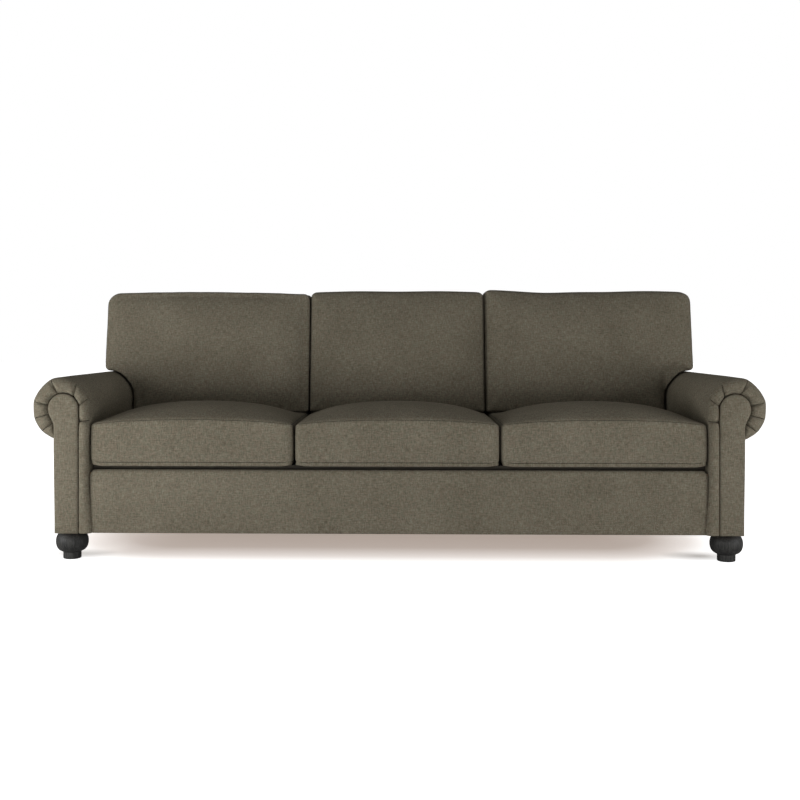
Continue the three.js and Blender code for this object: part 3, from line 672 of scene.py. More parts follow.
def box_uv(bm: BMesh, rest: Callable[[BMVert], Vector] | None = None) -> None:
    """Lay the cloth flat on each face from its nearest side, in metres.

    Args:
        bm: The bmesh.
        rest: A vertex's place before it was shaped, where that differs.
    """
    layer = bm.loops.layers.uv.get(CLOTH_UV) or bm.loops.layers.uv.new(CLOTH_UV)
    place = rest or (lambda vert: vert.co)
    for face in bm.faces:
        spots = [place(loop.vert) for loop in face.loops]
        first, second = spots[1] - spots[0], spots[2] - spots[0]
        normal = first.cross(second)
        size = [abs(part) for part in normal]
        axis = size.index(max(size))
        across, up = ((1, 2), (0, 2), (0, 1))[axis]
        for loop, spot in zip(face.loops, spots):
            loop[layer].uv = (spot[across], spot[up])


def shaped_sheet(
    name: str, across: int, along: int, place: Callable[[int, int], Spot], material: Material
) -> Object:
    """Shape a grid of cloth.

    Args:
        name: The piece's name.
        across: Rows of vertices across, less one.
        along: Rows of vertices along, less one.
        place: The place and cloth coordinate of a vertex by its two numbers.
        material: The cloth.

    Returns:
        The sheet, one face thick.
    """
    bm = bmesh.new()
    bmesh.ops.create_grid(bm, x_segments=across, y_segments=along, size=0.5)
    layer = bm.loops.layers.uv.new(CLOTH_UV)
    flat = {}
    for vert in bm.verts:
        i = round((vert.co.x + 0.5) * across)
        j = round((vert.co.y + 0.5) * along)
        vert.co, flat[vert] = place(i, j)
    for face in bm.faces:
        for loop in face.loops:
            loop[layer].uv = flat[loop.vert]
    return finish_mesh(bm, name, material, recalc=False)


def arc(
    centre: Pair, radius: float, start: float, end: float, steps: int
) -> list[Pair]:
    """Points of an arc from one angle in degrees to another, both ends included."""
    angles = (math.radians(start + (end - start) * i / steps) for i in range(steps + 1))
    return [(centre[0] + radius * math.cos(a), centre[1] + radius * math.sin(a)) for a in angles]


def polygon(bm: BMesh, spots: Iterable[Vector]) -> BMFace:
    """Add one face through the given places."""
    return bm.faces.new([bm.verts.new(spot) for spot in spots])


def extrude(bm: BMesh, face: BMFace, move: Vector) -> None:
    """Extrude a face, which stays as the near end, and move its copy."""
    made = bmesh.ops.extrude_face_region(bm, geom=[face])["geom"]
    bmesh.ops.translate(bm, verts=[item for item in made if isinstance(item, BMVert)], vec=move)


def padded_edge(bm: BMesh, face: BMFace, steps: Sequence[Pair]) -> None:
    """Raise a face from its edge in steps, each an inset and a rise, as padding does."""
    for inset, rise in steps:
        bmesh.ops.inset_region(
            bm, faces=[face], thickness=inset, depth=rise, use_even_offset=True
        )


@dataclass(frozen=True)
class SeamShadowLine:
    """A thin round dark line of painted shade: along a sewn seam, over its thread, or in a pleat's
    crease.
    """

    radius: float
    material: Material

    def mesh(self, spots: Sequence[Vector], closed: bool) -> bpy.types.Mesh:
        """Lay the line through places.

        Args:
            spots: The places.
            closed: Whether the line ends where it starts.

        Returns:
            The line as a mesh.
        """
        curve = bpy.data.curves.new("seam", "CURVE")
        curve.dimensions = "3D"
        curve.bevel_depth = self.radius
        curve.bevel_resolution = 1
        curve.use_fill_caps = True
        spline = curve.splines.new("POLY")
        spline.points.add(len(spots) - 1)
        for point, spot in zip(spline.points, spots):
            point.co = (*spot, 1.0)
        spline.use_cyclic_u = closed
        holder = linked("seam_path", curve)
        graph = bpy.context.evaluated_depsgraph_get()
        mesh = bpy.data.meshes.new_from_object(holder.evaluated_get(graph), depsgraph=graph)
        bpy.data.objects.remove(holder)
        bpy.data.curves.remove(curve)
        mesh.materials.clear()
        mesh.materials.append(self.material)
        mesh.shade_smooth()
        return mesh

    def piece(self, name: str, spots: Sequence[Vector], closed: bool) -> Object:
        """Lay the line through places, as a piece of its own.

        Args:
            name: The piece's name.
            spots: The places.
            closed: Whether the line ends where it starts.

        Returns:
            The piece.
        """
        mesh = self.mesh(spots, closed)
        mesh.name = name
        return linked(name, mesh)


@dataclass
class RollArm:
    """One rolled arm: pleated cover, facing panel, outside panel and foam."""

    side: Side
    layout: Layout
    finishes: Finishes
    cloth_thickness: float = 0.003
    straight_step: float = 0.014
    arc_step: float = 0.007
    pleat_offsets: tuple[float, ...] = (0.0, 0.0007, 0.0016, 0.003, 0.006, 0.011)
    low_pleat: float = -0.042
    pleat_degrees: tuple[float, ...] = (12.0, 50.0, 110.0, 166.5, 199.0, 228.0)
    pleat_slant: tuple[float, ...] = (0.04, 0.25, 0.2, 0.0, 0.0, 0.0, 0.0)
    pleat_reach: tuple[float, ...] = (0.062, 0.056, 0.062, 0.085, 0.12, 0.12, 0.12)
    pleat_end: float = 0.06
    pleat_depth: float = 0.013
    pleat_shallow: float = 0.0014
    pleat_sharp: float = 0.0018
    pleat_soft: float = 0.011
    slant_dense: float = 0.1
    slant_step: float = 0.001
    slant_steps: int = 17
    least_step: float = 0.00056
    pleat_fade_from: float = 0.5
    deep_fade_from: float = 0.3
    gentle_share: float = 0.35
    chord_shares: tuple[float, ...] = (0.0, 0.0, 0.0, 0.1, 0.3, 0.6, 0.28, 0.3)
    chord_fade: Pair = (0.08, 0.256)
    puff: float = 0.0042
    puff_power: float = 0.6
    seam_dip: float = 0.012
    seam_width: float = 0.005
    stem_turn: Pair = (-0.07, 0.0)
    outer_turn: Pair = (1.6, 2.6)
    under_turn: Pair = (3.4, 4.1)
    dip_shares: Triple = (0.5, 0.4, 0.5)
    dip_spread: float = 0.9
    # The pleats' painted shadow: a thin dark line laid in each crease.
    pleat_shadow_radius: float = 0.0011
    pleat_shadow_rise: float = 0.0007
    flare: float = 0.012
    flare_height: float = 0.17
    flare_fold: float = 0.0016
    flare_fade: Pair = (0.05, 0.09)
    flare_waves: Triple = (26.0, 30.0, 45.0)
    flare_seed: float = 4.0
    edge_squares: Pair = (2.2, 4.0)
    stem_proud: float = 0.0014
    stem_spread: float = 0.003
    spread_height: float = 0.28
    head_ease: float = 0.062
    head_drop: float = 0.078
    facing_gap: float = 0.002
    head_steps: int = 40
    ease_steps: int = 16
    stem_steps: int = 8
    rear_gap: float = 0.0005
    # Where each pleat's painted shadow line runs along its crease.
    pleat_shadow_steps: int = 14
    pleat_shadow_start: float = 0.004
    pleat_shadow_share: float = 0.8
    pleat_shadow_span: float = 0.012
    crease_share: float = 0.62
    first_knot: float = 0.06
    puff_fade: Pair = (0.028, 0.058)
    puff_start: float = 0.02
    outside_counts: tuple[int, int] = (60, 20)
    outside_ease: float = 0.0015
    outside_reach: float = 0.08
    foam_counts: tuple[int, int] = (48, 10)
    foam_end: float = 0.1
    foam_front: float = 0.006
    profile_steps: int = 40
    seam_rings: tuple[float, ...] = (0.0, 0.0012, 0.003, 0.0055, 0.009)
    ring_steps: int = 14
    back_steps: int = 26
    back_ease: float = 1.5
    facing_rise: tuple[Pair, ...] = (
        (0.0012, 0.0026), (0.0016, 0.0018), (0.0024, 0.0014), (0.004, 0.0009), (0.007, 0.0005),
    )
    foam_thickness: float = 0.028
    foam_gap: float = 0.006

    @property
    def roll_radius(self) -> float:
        """The roll's mean radius, which lengths round it are measured at."""
        return (self.layout.roll_width + self.layout.roll_height) / 2

    @property
    def end_angle(self) -> float:
        """The angle round the roll at which its cover meets the outside arm, from inboard."""
        reach = (self.layout.arm_outside - self.layout.roll_x) / self.layout.roll_width
        return math.pi + math.acos(reach)

    @property
    def pleats(self) -> list[float]:
        """The pleats' places along the outline. The roll starts at 0."""
        around = [math.radians(angle) * self.roll_radius for angle in self.pleat_degrees]
        return [self.low_pleat, *around]

    def stations(self) -> list[float]:
        """Places along the outline, from the foot of the inside arm round the roll."""
        layout = self.layout
        foot = layout.base - layout.roll_z
        end = self.end_angle * self.roll_radius
        straight = round(-foot / self.straight_step)
        around = round(end / self.arc_step)
        places = [foot * (1 - i / straight) for i in range(straight)]
        places += [end * i / around for i in range(around + 1)]
        for pleat, slant in zip(self.pleats, self.pleat_slant):
            for offset in self.pleat_offsets:
                places += [pleat - offset, pleat + offset]
            if slant > self.slant_dense:
                places += [pleat + self.slant_step * (step + 1) for step in range(self.slant_steps)]
        kept = [foot]
        for place in sorted(places):
            if place - kept[-1] > self.least_step:
                kept.append(min(place, end))
        return kept

    def outline(self, station: float, centre: float, width: float, height: float) -> Vector:
        """A point of an arm outline in X and Z.

        Args:
            station: Its place along the outline.
            centre: X of the round part's centre.
            width: The round part's reach to each side, also that of the straight inside face.
            height: The round part's reach up and down.

        Returns:
            The point, with Y at 0.
        """
        layout = self.layout
        if station <= 0:
            return Vector((centre - width, 0, layout.roll_z + station))
        angle = math.pi - station / self.roll_radius
        x = centre + width * math.cos(angle)
        return Vector((x, 0, layout.roll_z + height * math.sin(angle)))

    def full_point(self, station: float, gap: float = 0.0) -> Vector:
        """A point of the arm's full outline behind its rounded edge, or a gap inside it."""
        layout = self.layout
        width, height = layout.roll_width - gap, layout.roll_height - gap
        return self.outline(station, layout.roll_x, width, height)

    def stem_x(self, z: float) -> float:
        """The outer edge of the arm below its roll at a height, which spreads upwards."""
        layout = self.layout
        spread = smoothstep(layout.base, layout.base + self.spread_height, z)
        return layout.arm_outside + self.stem_proud + self.stem_spread * spread

    def head_edge(self, drop: float) -> Vector:
        """The facing's outer edge at a drop below the middle of its head."""
        layout = self.layout
        z = layout.roll_z - drop
        stem = self.stem_x(z)
        out = 1 - smoothstep(0.0, self.head_ease, drop)
        return Vector((stem + (layout.head_x + layout.head_radius - stem) * out, 0, z))

    def facing_point(self, station: float) -> Vector:
        """A point of the facing's seam at a station."""
        layout = self.layout
        angle = station / self.roll_radius
        if angle > math.pi:
            share = (angle - math.pi) / (self.end_angle - math.pi)
            return self.head_edge(self.head_drop * share)
        return self.outline(station, layout.head_x, layout.head_radius, layout.head_radius)

    def pleat_shape(self, station: float, length: float) -> float:
        """How far the cloth lies out at a place, from its pleats and the puffs between them.

        Args:
            station: The place along the outline.
            length: The way from the facing's seam over the cloth.

        Returns:
            The distance outwards.
        """
        out = 0.0
        pleats = self.pleats
        for pleat, reach, slant in zip(pleats, self.pleat_reach, self.pleat_slant):
            fade = 1 - smoothstep(self.pleat_fade_from * reach, reach, length)
            end = min(reach, self.pleat_end)
            left = 1 - smoothstep(self.deep_fade_from * end, end, length)
            away = station - pleat - slant * min(length, reach)
            width = self.pleat_sharp if away < 0 else self.pleat_soft * self.gentle_share
            crease = math.exp(-abs(away) / width)
            hollow = math.exp(-((away / self.pleat_soft) ** 2))
            dent = self.crease_share * crease + (1 - self.crease_share) * hollow
            out -= self.pleat_depth * left * dent + fade * self.pleat_shallow * crease
        knots = [pleats[0] - self.first_knot, *pleats, self.end_angle * self.roll_radius]
        chords = 1 - smoothstep(*self.chord_fade, length)
        puffs = 1 - smoothstep(*self.puff_fade, length)
        started = smoothstep(0.0, self.puff_start, length)
        for low, high, chord in zip(knots, knots[1:], self.chord_shares):
            if low < station < high:
                bow = arch((station - low) / (high - low))
                half = (high - low) / self.roll_radius / 2
                sagitta = self.roll_radius * (1 - math.cos(half))
                out += self.puff * puffs * bow**self.puff_power * started
                out -= chord * chords * sagitta * bow
        return out

    def squareness(self, station: float) -> float:
        """How square the cloth turns at a station: more beside the stem than round the roll."""
        low, high = self.edge_squares
        return high + (low - high) * smoothstep(*self.stem_turn, station)

    def drawn_in(self, station: float, length: float) -> float:
        """How far the facing's seam draws the cloth in: least by the stem, most outboard."""
        stem = 1 - smoothstep(*self.stem_turn, station)
        outer = smoothstep(*self.outer_turn, station / self.roll_radius)
        under = smoothstep(*self.under_turn, station / self.roll_radius)
        less, more, most = self.dip_shares
        depth = self.seam_dip * (1 - less * stem + more * outer + most * under)
        width = self.seam_width * (1 + self.dip_spread * (outer + under))
        return depth * math.exp(-length / width)

    def edge_profile(self, reach: float, square: float) -> list[Triple]:
        """The cloth's way from the facing's seam into the arm's face.

        Args:
            reach: How far the face lies out from the seam.
            square: How square the cloth turns.

        Returns:
            The way gone, the share of the reach and the share of the depth at each step.
        """
        depth = self.layout.edge_radius
        turn_power = 2 / square
        made = [(0.0, 0.0, 0.0)]
        for i in range(1, self.profile_steps + 1):
            turn = math.pi / 2 * i / self.profile_steps
            out, back = math.sin(turn) ** turn_power, 1 - math.cos(turn) ** turn_power
            way, last_out, last_back = made[-1]
            way += math.hypot((out - last_out) * reach, (back - last_back) * depth)
            made.append((way, out, back))
        return made

    def cover_point(self, station: float, length: float) -> Vector:
        """A point of the arm's cover on the right arm.

        Args:
            station: Its place along the outline.
            length: The way from the facing's seam over the cloth.

        Returns:
            The point.
        """
        layout = self.layout
        depth = layout.edge_radius
        seam = self.facing_point(station)
        radial = self.full_point(station) - seam
        reach = radial.length
        radial.normalize()
        square = self.squareness(station)
        profile = self.edge_profile(reach, square)
        total = profile[-1][0]
        after = next((i for i, step in enumerate(profile) if step[0] > length), len(profile) - 1)
        first, second = profile[after - 1], profile[after]
        share = min((length - first[0]) / (second[0] - first[0]), 1.0)
        out = first[1] + (second[1] - first[1]) * share
        back = first[2] + (second[2] - first[2]) * share
        spot = seam + radial * (reach * out)
        spot.y = layout.front + depth * back + max(length - total, 0.0)
        sideways, forward = out ** (square - 1) / reach, (1 - back) ** (square - 1) / depth
        normal = (radial * sideways - Vector((0, forward, 0))).normalized()
        spot += normal * (self.pleat_shape(station, length) - self.drawn_in(station, length))
        low = 1 - smoothstep(0.0, self.flare_height, spot.z - layout.base)
        near = 1 - smoothstep(*self.flare_fade, length)
        if station < 0:
            spot.x -= self.flare * low * near * out
            down, askew, along = self.flare_waves
            wave = Vector((station * down + length * askew, length * along, self.flare_seed))
            spot += normal * (self.flare_fold * noise.noise(wave) * low * near)
        return spot

    def ring_length(self, ring: int, total: float) -> float:
        """The way over the cloth from the seam to a ring.

        Args:
            ring: The ring's number.
            total: The way from the seam into the arm's face.

        Returns:
            The way.
        """
        if ring < len(self.seam_rings):
            return self.seam_rings[ring]
        last = self.seam_rings[-1]
        ring -= len(self.seam_rings) - 1
        if ring <= self.ring_steps:
            return last + (total - last) * ring / self.ring_steps
        share = (ring - self.ring_steps) / self.back_steps
        return total + self.back_depth * share**self.back_ease

    @property
    def back_depth(self) -> float:
        """How far the arm runs straight back behind its rounded edge."""
        layout = self.layout
        return layout.rear_y(layout.roll_z) - layout.front - layout.edge_radius

    def sheet(
        self, kind: str, across: int, along: int, place: Callable[[int, int], Spot],
        material: Material, thickness: float,
    ) -> Object:
        """Shape a sheet of this arm, which is described as on the right arm.

        Args:
            kind: The piece's name without its side.
            across: Rows of vertices across, less one.
            along: Rows of vertices along, less one.
            place: The place and cloth coordinate of a vertex on the right arm.
            material: The sheet's material.
            thickness: Its thickness.

        Returns:
            The sheet.
        """
        sign = self.side.value

        def sided(i: int, j: int) -> Spot:
            spot, flat = place(i, j)
            return Vector((spot.x * sign, spot.y, spot.z)), flat

        piece = shaped_sheet(f"{kind}_{self.side.word}", across, along, sided, material)
        if self.side is Side.LEFT:
            piece.data.flip_normals()
        thickened(piece, thickness)
        return piece

    def build_cover(self) -> None:
        """Make the pleated cover of the inside arm and the roll."""
        layout = self.layout
        stations = self.stations()
        rings = len(self.seam_rings) + self.ring_steps + self.back_steps
        front = layout.front + layout.edge_radius

        def place(i: int, j: int) -> Spot:
            station = stations[i]
            way = (self.full_point(station) - self.facing_point(station)).length
            total = self.edge_profile(way, self.squareness(station))[-1][0]
            length = self.ring_length(j, total)
            spot = self.cover_point(station, length)
            if length > total:
                rear = layout.reach_back(spot.z, self.rear_gap)
                spot.y = front + (rear - front) * (length - total) / self.back_depth
            return spot, (station, length)

        cloth = self.sheet(
            "arm_cloth", len(stations) - 1, rings - 1, place,
            self.finishes.upholstery, self.cloth_thickness,
        )
        subdivided(cloth)
        settle(cloth, Slot.UPHOLSTERY, f"arm_cover_{self.side.word}", fill=0.8)

    def build_pleat_shadows(self) -> None:
        """Make the painted shadow in each pleat: a thin dark line laid along the bottom of its
        crease.
        """
        bm = bmesh.new()
        for pleat, reach, slant in zip(self.pleats, self.pleat_reach, self.pleat_slant):
            run = self.pleat_shadow_share * reach - self.pleat_shadow_start
            spots = []
            for i in range(self.pleat_shadow_steps + 1):
                length = self.pleat_shadow_start + run * i / self.pleat_shadow_steps
                spot, before, after = (
                    self.cover_point(pleat + slant * length + beside, length)
                    for beside in (0.0, -self.pleat_shadow_span, self.pleat_shadow_span)
                )
                spot += ((before + after) / 2 - spot).normalized() * self.pleat_shadow_rise
                spots.append(Vector((spot.x * self.side.value, spot.y, spot.z)))
            line = SeamShadowLine(self.pleat_shadow_radius, self.finishes.seam).mesh(spots, closed=False)
            bm.from_mesh(line)
            bpy.data.meshes.remove(line)
        pleat_shadow_piece = finish_mesh(bm, f"pleat_folds_{self.side.word}", self.finishes.seam, recalc=False)
        settle(pleat_shadow_piece, Slot.UPHOLSTERY)

    def facing_outline(self) -> list[Vector]:
        """The facing's outline on the right arm: a straight stem with a round head."""
        layout = self.layout
        gap = self.facing_gap
        radius = layout.head_radius - gap
        head = arc((layout.head_x, layout.roll_z), radius, 180, 0, self.head_steps)
        spots = [Vector((layout.facing_inside + gap, 0, layout.base))]
        spots += [Vector((x, 0, z)) for x, z in head]
        stem = layout.roll_z - layout.base - self.head_ease
        for i in range(1, self.ease_steps + 1):
            share = i / self.ease_steps
            inset = Vector((gap * (1 - share), 0, 0))
            spots.append(self.head_edge(self.head_ease * share) - inset)
        for i in range(1, self.stem_steps + 1):
            spots.append(self.head_edge(self.head_ease + stem * i / self.stem_steps))
        return spots

    def build_facing(self) -> None:
        """Make the padded facing panel."""
        layout = self.layout
        rise = sum(step for _, step in self.facing_rise)
        bm = bmesh.new()
        spots = [Vector((s.x, layout.front + rise, s.z)) for s in self.facing_outline()]
        face = polygon(bm, spots)
        bm.normal_update()
        extrude(bm, face, Vector((0, layout.facing_back - layout.front - rise, 0)))
        face_outwards(bm)
        padded_edge(bm, end_face(bm, -1), self.facing_rise)
        box_uv(bm)
        split_large(bm)
        bmesh.ops.scale(bm, vec=(self.side.value, 1, 1), verts=bm.verts)
        panel = finish_mesh(bm, f"facing_{self.side.word}", self.finishes.upholstery)
        node = f"arm_front_panel_{self.side.word}"
        settle(panel, Slot.UPHOLSTERY, node, fill=0.9)

    def build_outside(self) -> None:
        """Make the flat outside arm panel, whose top follows the roll's cover."""
        layout = self.layout
        end = self.stations()[-1]
        columns, rows = self.outside_counts
        front = layout.facing_back + self.rear_gap
        square = self.squareness(end)
        seam_z, full_z = self.facing_point(end).z, self.full_point(end).z

        def top(y: float) -> float:
            back = min((y - layout.front) / layout.edge_radius, 1.0)
            out = (1 - (1 - back) ** square) ** (1 / square)
            return seam_z + (full_z - seam_z) * out - 2 * self.rear_gap

        def place(i: int, j: int) -> Spot:
            share = i / columns
            y = front + (layout.reach_back(layout.base, self.rear_gap) - front) * share
            z = layout.base + (top(y) - layout.base) * j / rows
            y += (layout.rear_y(z) - layout.rear_y(layout.base)) * share
            edge = min(share, 1 - share, j / rows, 1 - j / rows)
            eased = 1 - smoothstep(0, self.outside_reach, edge)
            x = self.stem_x(z) - self.outside_ease * eased
            return Vector((x, y, z)), (y, z)

        cloth = self.sheet(
            "outside_arm_cloth", columns, rows, place,
            self.finishes.upholstery, self.cloth_thickness,
        )
        word = self.side.word
        settle(cloth, Slot.UPHOLSTERY, f"outside_arm_panel_{word}")
        depth = layout.reach_back((layout.base + full_z) / 2, 0.0) - front

    def build_foam(self) -> None:
        """Make the foam that pads the inside arm and the roll, just under the cloth."""
        layout = self.layout
        start = layout.deck - layout.roll_z
        end = (self.end_angle - self.foam_end) * self.roll_radius
        columns, rows = self.foam_counts
        front = layout.front + layout.edge_radius + self.foam_front

        def place(i: int, j: int) -> Spot:
            station = start + (end - start) * i / columns
            spot = self.full_point(station, self.foam_gap)
            rear = layout.reach_back(spot.z, self.foam_gap)
            spot.y = front + (rear - front) * j / rows
            return spot, (station, spot.y)

        foam = self.sheet(
            "arm_foam", columns, rows, place, self.finishes.foam, self.foam_thickness
        )
        settle(foam, Slot.FOAM, f"arm_padding_{self.side.word}", fill=1.0)

    def build(self) -> None:
        """Make the arm's soft pieces."""
        self.build_cover()
        self.build_pleat_shadows()
        self.build_facing()
        self.build_outside()
        self.build_foam()


@dataclass
class BunFoot:
    """One turned foot: a low pad, a cove, the bun and its neck."""

    end: str
    side: Side
    finishes: Finishes
    pad_radius: float = 0.03
    trim: float = 0.0008
    pad_height: float = 0.023
    pad_round: float = 0.004
    bun_middle: float = 0.059
    bun_half: float = 0.033
    bun_square: float = 0.85
    neck_radius: float = 0.029
    neck_height: float = 0.008
    bolt_gap: float = 0.0003
    steps: int = 72
    bun_steps: int = 18
    bun_turn: float = 75.0
    sharp_from: float = 35.0

    def profile(self, radius: float, height: float, bore: float, depth: float) -> list:
        """The foot's half section as radii and heights.

        Args:
            radius: The bun's radius.
            height: The foot's height.
            bore: The bolt hole's radius.
            depth: The bolt hole's depth.

        Returns:
            The section from its bottom centre round to the hole's bottom.
        """
        points = [(0.0, 0.0), (self.pad_radius - self.pad_round, 0.0)]
        centre = (self.pad_radius - self.pad_round, self.pad_round)
        points += arc(centre, self.pad_round, -60, 0, 3)
        points += [(self.pad_radius, self.pad_height)]
        for i in range(self.bun_steps + 1):
            angle = math.radians(self.bun_turn * (2 * i / self.bun_steps - 1))
            reach = (radius - self.pad_radius) * math.cos(angle) ** self.bun_square
            height_there = self.bun_middle + self.bun_half * math.sin(angle)
            points.append((self.pad_radius + reach, height_there))
        points += [(self.neck_radius, height - self.neck_height), (self.neck_radius, height)]
        points += [(bore, height), (bore, height - depth), (0.0, height - depth)]
        return points

    def build(self) -> None:
        """Turn the foot round its axis."""
        node = f"foot_{self.end}_{self.side.word}"
        low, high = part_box(node)
        bolt_low, bolt_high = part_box(f"foot_bolt_{self.end}_{self.side.word}")
        centre = (low + high) / 2
        bore = (bolt_high.x - bolt_low.x) / 2 + self.bolt_gap
        depth = high.z - bolt_low.z + self.bolt_gap
        radius = (high.x - low.x) / 2 - self.trim
        section = self.profile(radius, high.z - low.z, bore, depth)
        bm = bmesh.new()
        chain = [bm.verts.new((radius, 0, z)) for radius, z in section]
        edges = [bm.edges.new(pair) for pair in zip(chain, chain[1:])]
        bmesh.ops.spin(
            bm, geom=chain + edges, axis=UP, cent=(0, 0, 0),
            angle=2 * math.pi, steps=self.steps, use_merge=True,
        )
        bmesh.ops.remove_doubles(bm, verts=bm.verts, dist=WELD)
        bmesh.ops.translate(bm, verts=bm.verts, vec=(centre.x, centre.y, low.z))
        foot = finish_mesh(bm, f"bun_foot_{self.end}_{self.side.word}", self.finishes.foot_wood)
        foot.data.set_sharp_from_angle(angle=math.radians(self.sharp_from))
        settle(foot, Slot.FOOT_WOOD, node)


@dataclass
class Base:
    """The front border, the deck and the dust cover."""

    layout: Layout
    finishes: Finishes
    border_round: float = 0.016
    top_drop: float = 0.007
    top_fall: float = 0.004
    border_bulge: float = 0.004
    bulge_power: float = 0.7
    end_round: float = 0.016
    end_share: float = 0.7
    end_drop: float = 0.024
    hem: float = 0.004
    cloth_thickness: float = 0.003
    foot_margin: float = 0.012
    turn_under: float = 0.012
    face_steps: int = 24
    top_start: float = 0.026
    top_gap: float = 0.002
    end_columns: tuple[float, ...] = (
        0.0, 0.0008, 0.002, 0.004, 0.007, 0.011, 0.016, 0.024, 0.04,
    )
    middle_columns: int = 90
    middle_margin: float = 0.06
    deck_round: float = 0.004
    dust_thickness: float = 0.0006
    dust_gap: float = 0.0002
    dust_steps: tuple[Pair, ...] = (
        (0.001, 0.0007), (0.014, 0.0), (0.0015, -0.0005),
    )

    def border_profile(self) -> list[Triple]:
        """Y, Z and the share of the bulge at places from the hem up over the top."""
        low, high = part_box("front_border")
        front, base, top = low.y, low.z, high.z - self.top_drop
        points = [(front + self.turn_under, base, 0.0), (front + self.hem, base, 0.0)]
        for y, z in arc((front + self.hem, base + self.hem), self.hem, 270, 180, 4)[1:]:
            points.append((y, z, 0.0))
        bottom, shoulder = base + self.hem, top - self.border_round
        for i in range(1, self.face_steps):
            share = i / self.face_steps
            bulge = arch(share) ** self.bulge_power
            points.append((front, bottom + (shoulder - bottom) * share, bulge))
        for y, z in arc((front + self.border_round, shoulder), self.border_round, 180, 90, 8):
            points.append((y, z, 0.0))
        top -= self.top_fall
        points += [(front + self.top_start, top, 0.0), (high.y - self.top_gap, top, 0.0)]
        return points

    def build_border(self) -> None:
        """Make the padded border over the front rail."""
        low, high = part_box("front_border")
        profile = self.border_profile()
        half = (high.x - low.x) / 2
        inner, count = half - self.middle_margin, self.middle_columns
        columns = [end - half for end in self.end_columns]
        columns += [-inner + 2 * inner * i / count for i in range(count + 1)]
        columns += [half - end for end in reversed(self.end_columns)]
        lengths = [0.0]
        for first, second in zip(profile, profile[1:]):
            step = math.hypot(second[0] - first[0], second[1] - first[1])
            lengths.append(lengths[-1] + step)

        def place(i: int, j: int) -> Spot:
            x = columns[i]
            y, z, bulge = profile[j]
            near = min((half - abs(x)) / self.end_round, 1.0)
            round_back = 1 - math.sqrt(max(1 - (1 - near) ** 2, 0.0))
            y += self.end_round * self.end_share * round_back
            y -= self.border_bulge * bulge * near
            upper = smoothstep(low.z, high.z, z) ** 2
            z -= self.end_drop * round_back * upper
            return Vector((x, y, z)), (x, lengths[j])

        cloth = shaped_sheet(
            "border_cloth", len(columns) - 1, len(profile) - 1, place, self.finishes.upholstery
        )
        thickened(cloth, self.cloth_thickness)
        settle(cloth, Slot.UPHOLSTERY, "front_border", fill=0.8)

    def build_deck(self) -> None:
        """Make the cloth-covered deck that the seat cushions lie on, its cloth painted dark for the
        shade under them.
        """
        low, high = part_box("deck_panel")
        bm = bmesh.new()
        bmesh.ops.create_cube(bm, size=1.0)
        bmesh.ops.scale(bm, vec=high - low, verts=bm.verts)
        bmesh.ops.translate(bm, vec=(low + high) / 2, verts=bm.verts)
        bevelled(bm, bm.edges, self.deck_round)
        box_uv(bm)
        deck = finish_mesh(bm, "deck_cloth_board", self.finishes.deck)
        settle(deck, Slot.DECK_CLOTH, "deck_panel")

    def build_dust_cover(self) -> None:
        """Make the dust cover: thin cloth under the base, with a folded hem."""
        low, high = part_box("dust_cover")
        foot_low, foot_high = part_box("foot_front_right")
        inner = foot_low.x - self.foot_margin
        notch = foot_high.y + self.foot_margin
        rear_notch = high.y - (notch - low.y)
        quarter = [(inner, low.y), (inner, notch), (high.x, notch), (high.x, rear_notch)]
        quarter += [(inner, rear_notch), (inner, high.y)]
        flat = quarter + [(-x, y) for x, y in reversed(quarter)]
        bm = bmesh.new()
        face = polygon(bm, [Vector((x, y, high.z - self.dust_gap)) for x, y in flat])
        face_outwards(bm)
        if face.normal.z > 0:
            bmesh.ops.reverse_faces(bm, faces=[face])
        padded_edge(bm, face, self.dust_steps)
        box_uv(bm)
        cloth = finish_mesh(bm, "dust_cloth", self.finishes.dust, recalc=False)
        thickened(cloth, self.dust_thickness)
        settle(cloth, Slot.DUST_CLOTH, "dust_cover")

    def build(self) -> None:
        """Make the base's soft pieces."""
        self.build_border()
        self.build_deck()
        self.build_dust_cover()


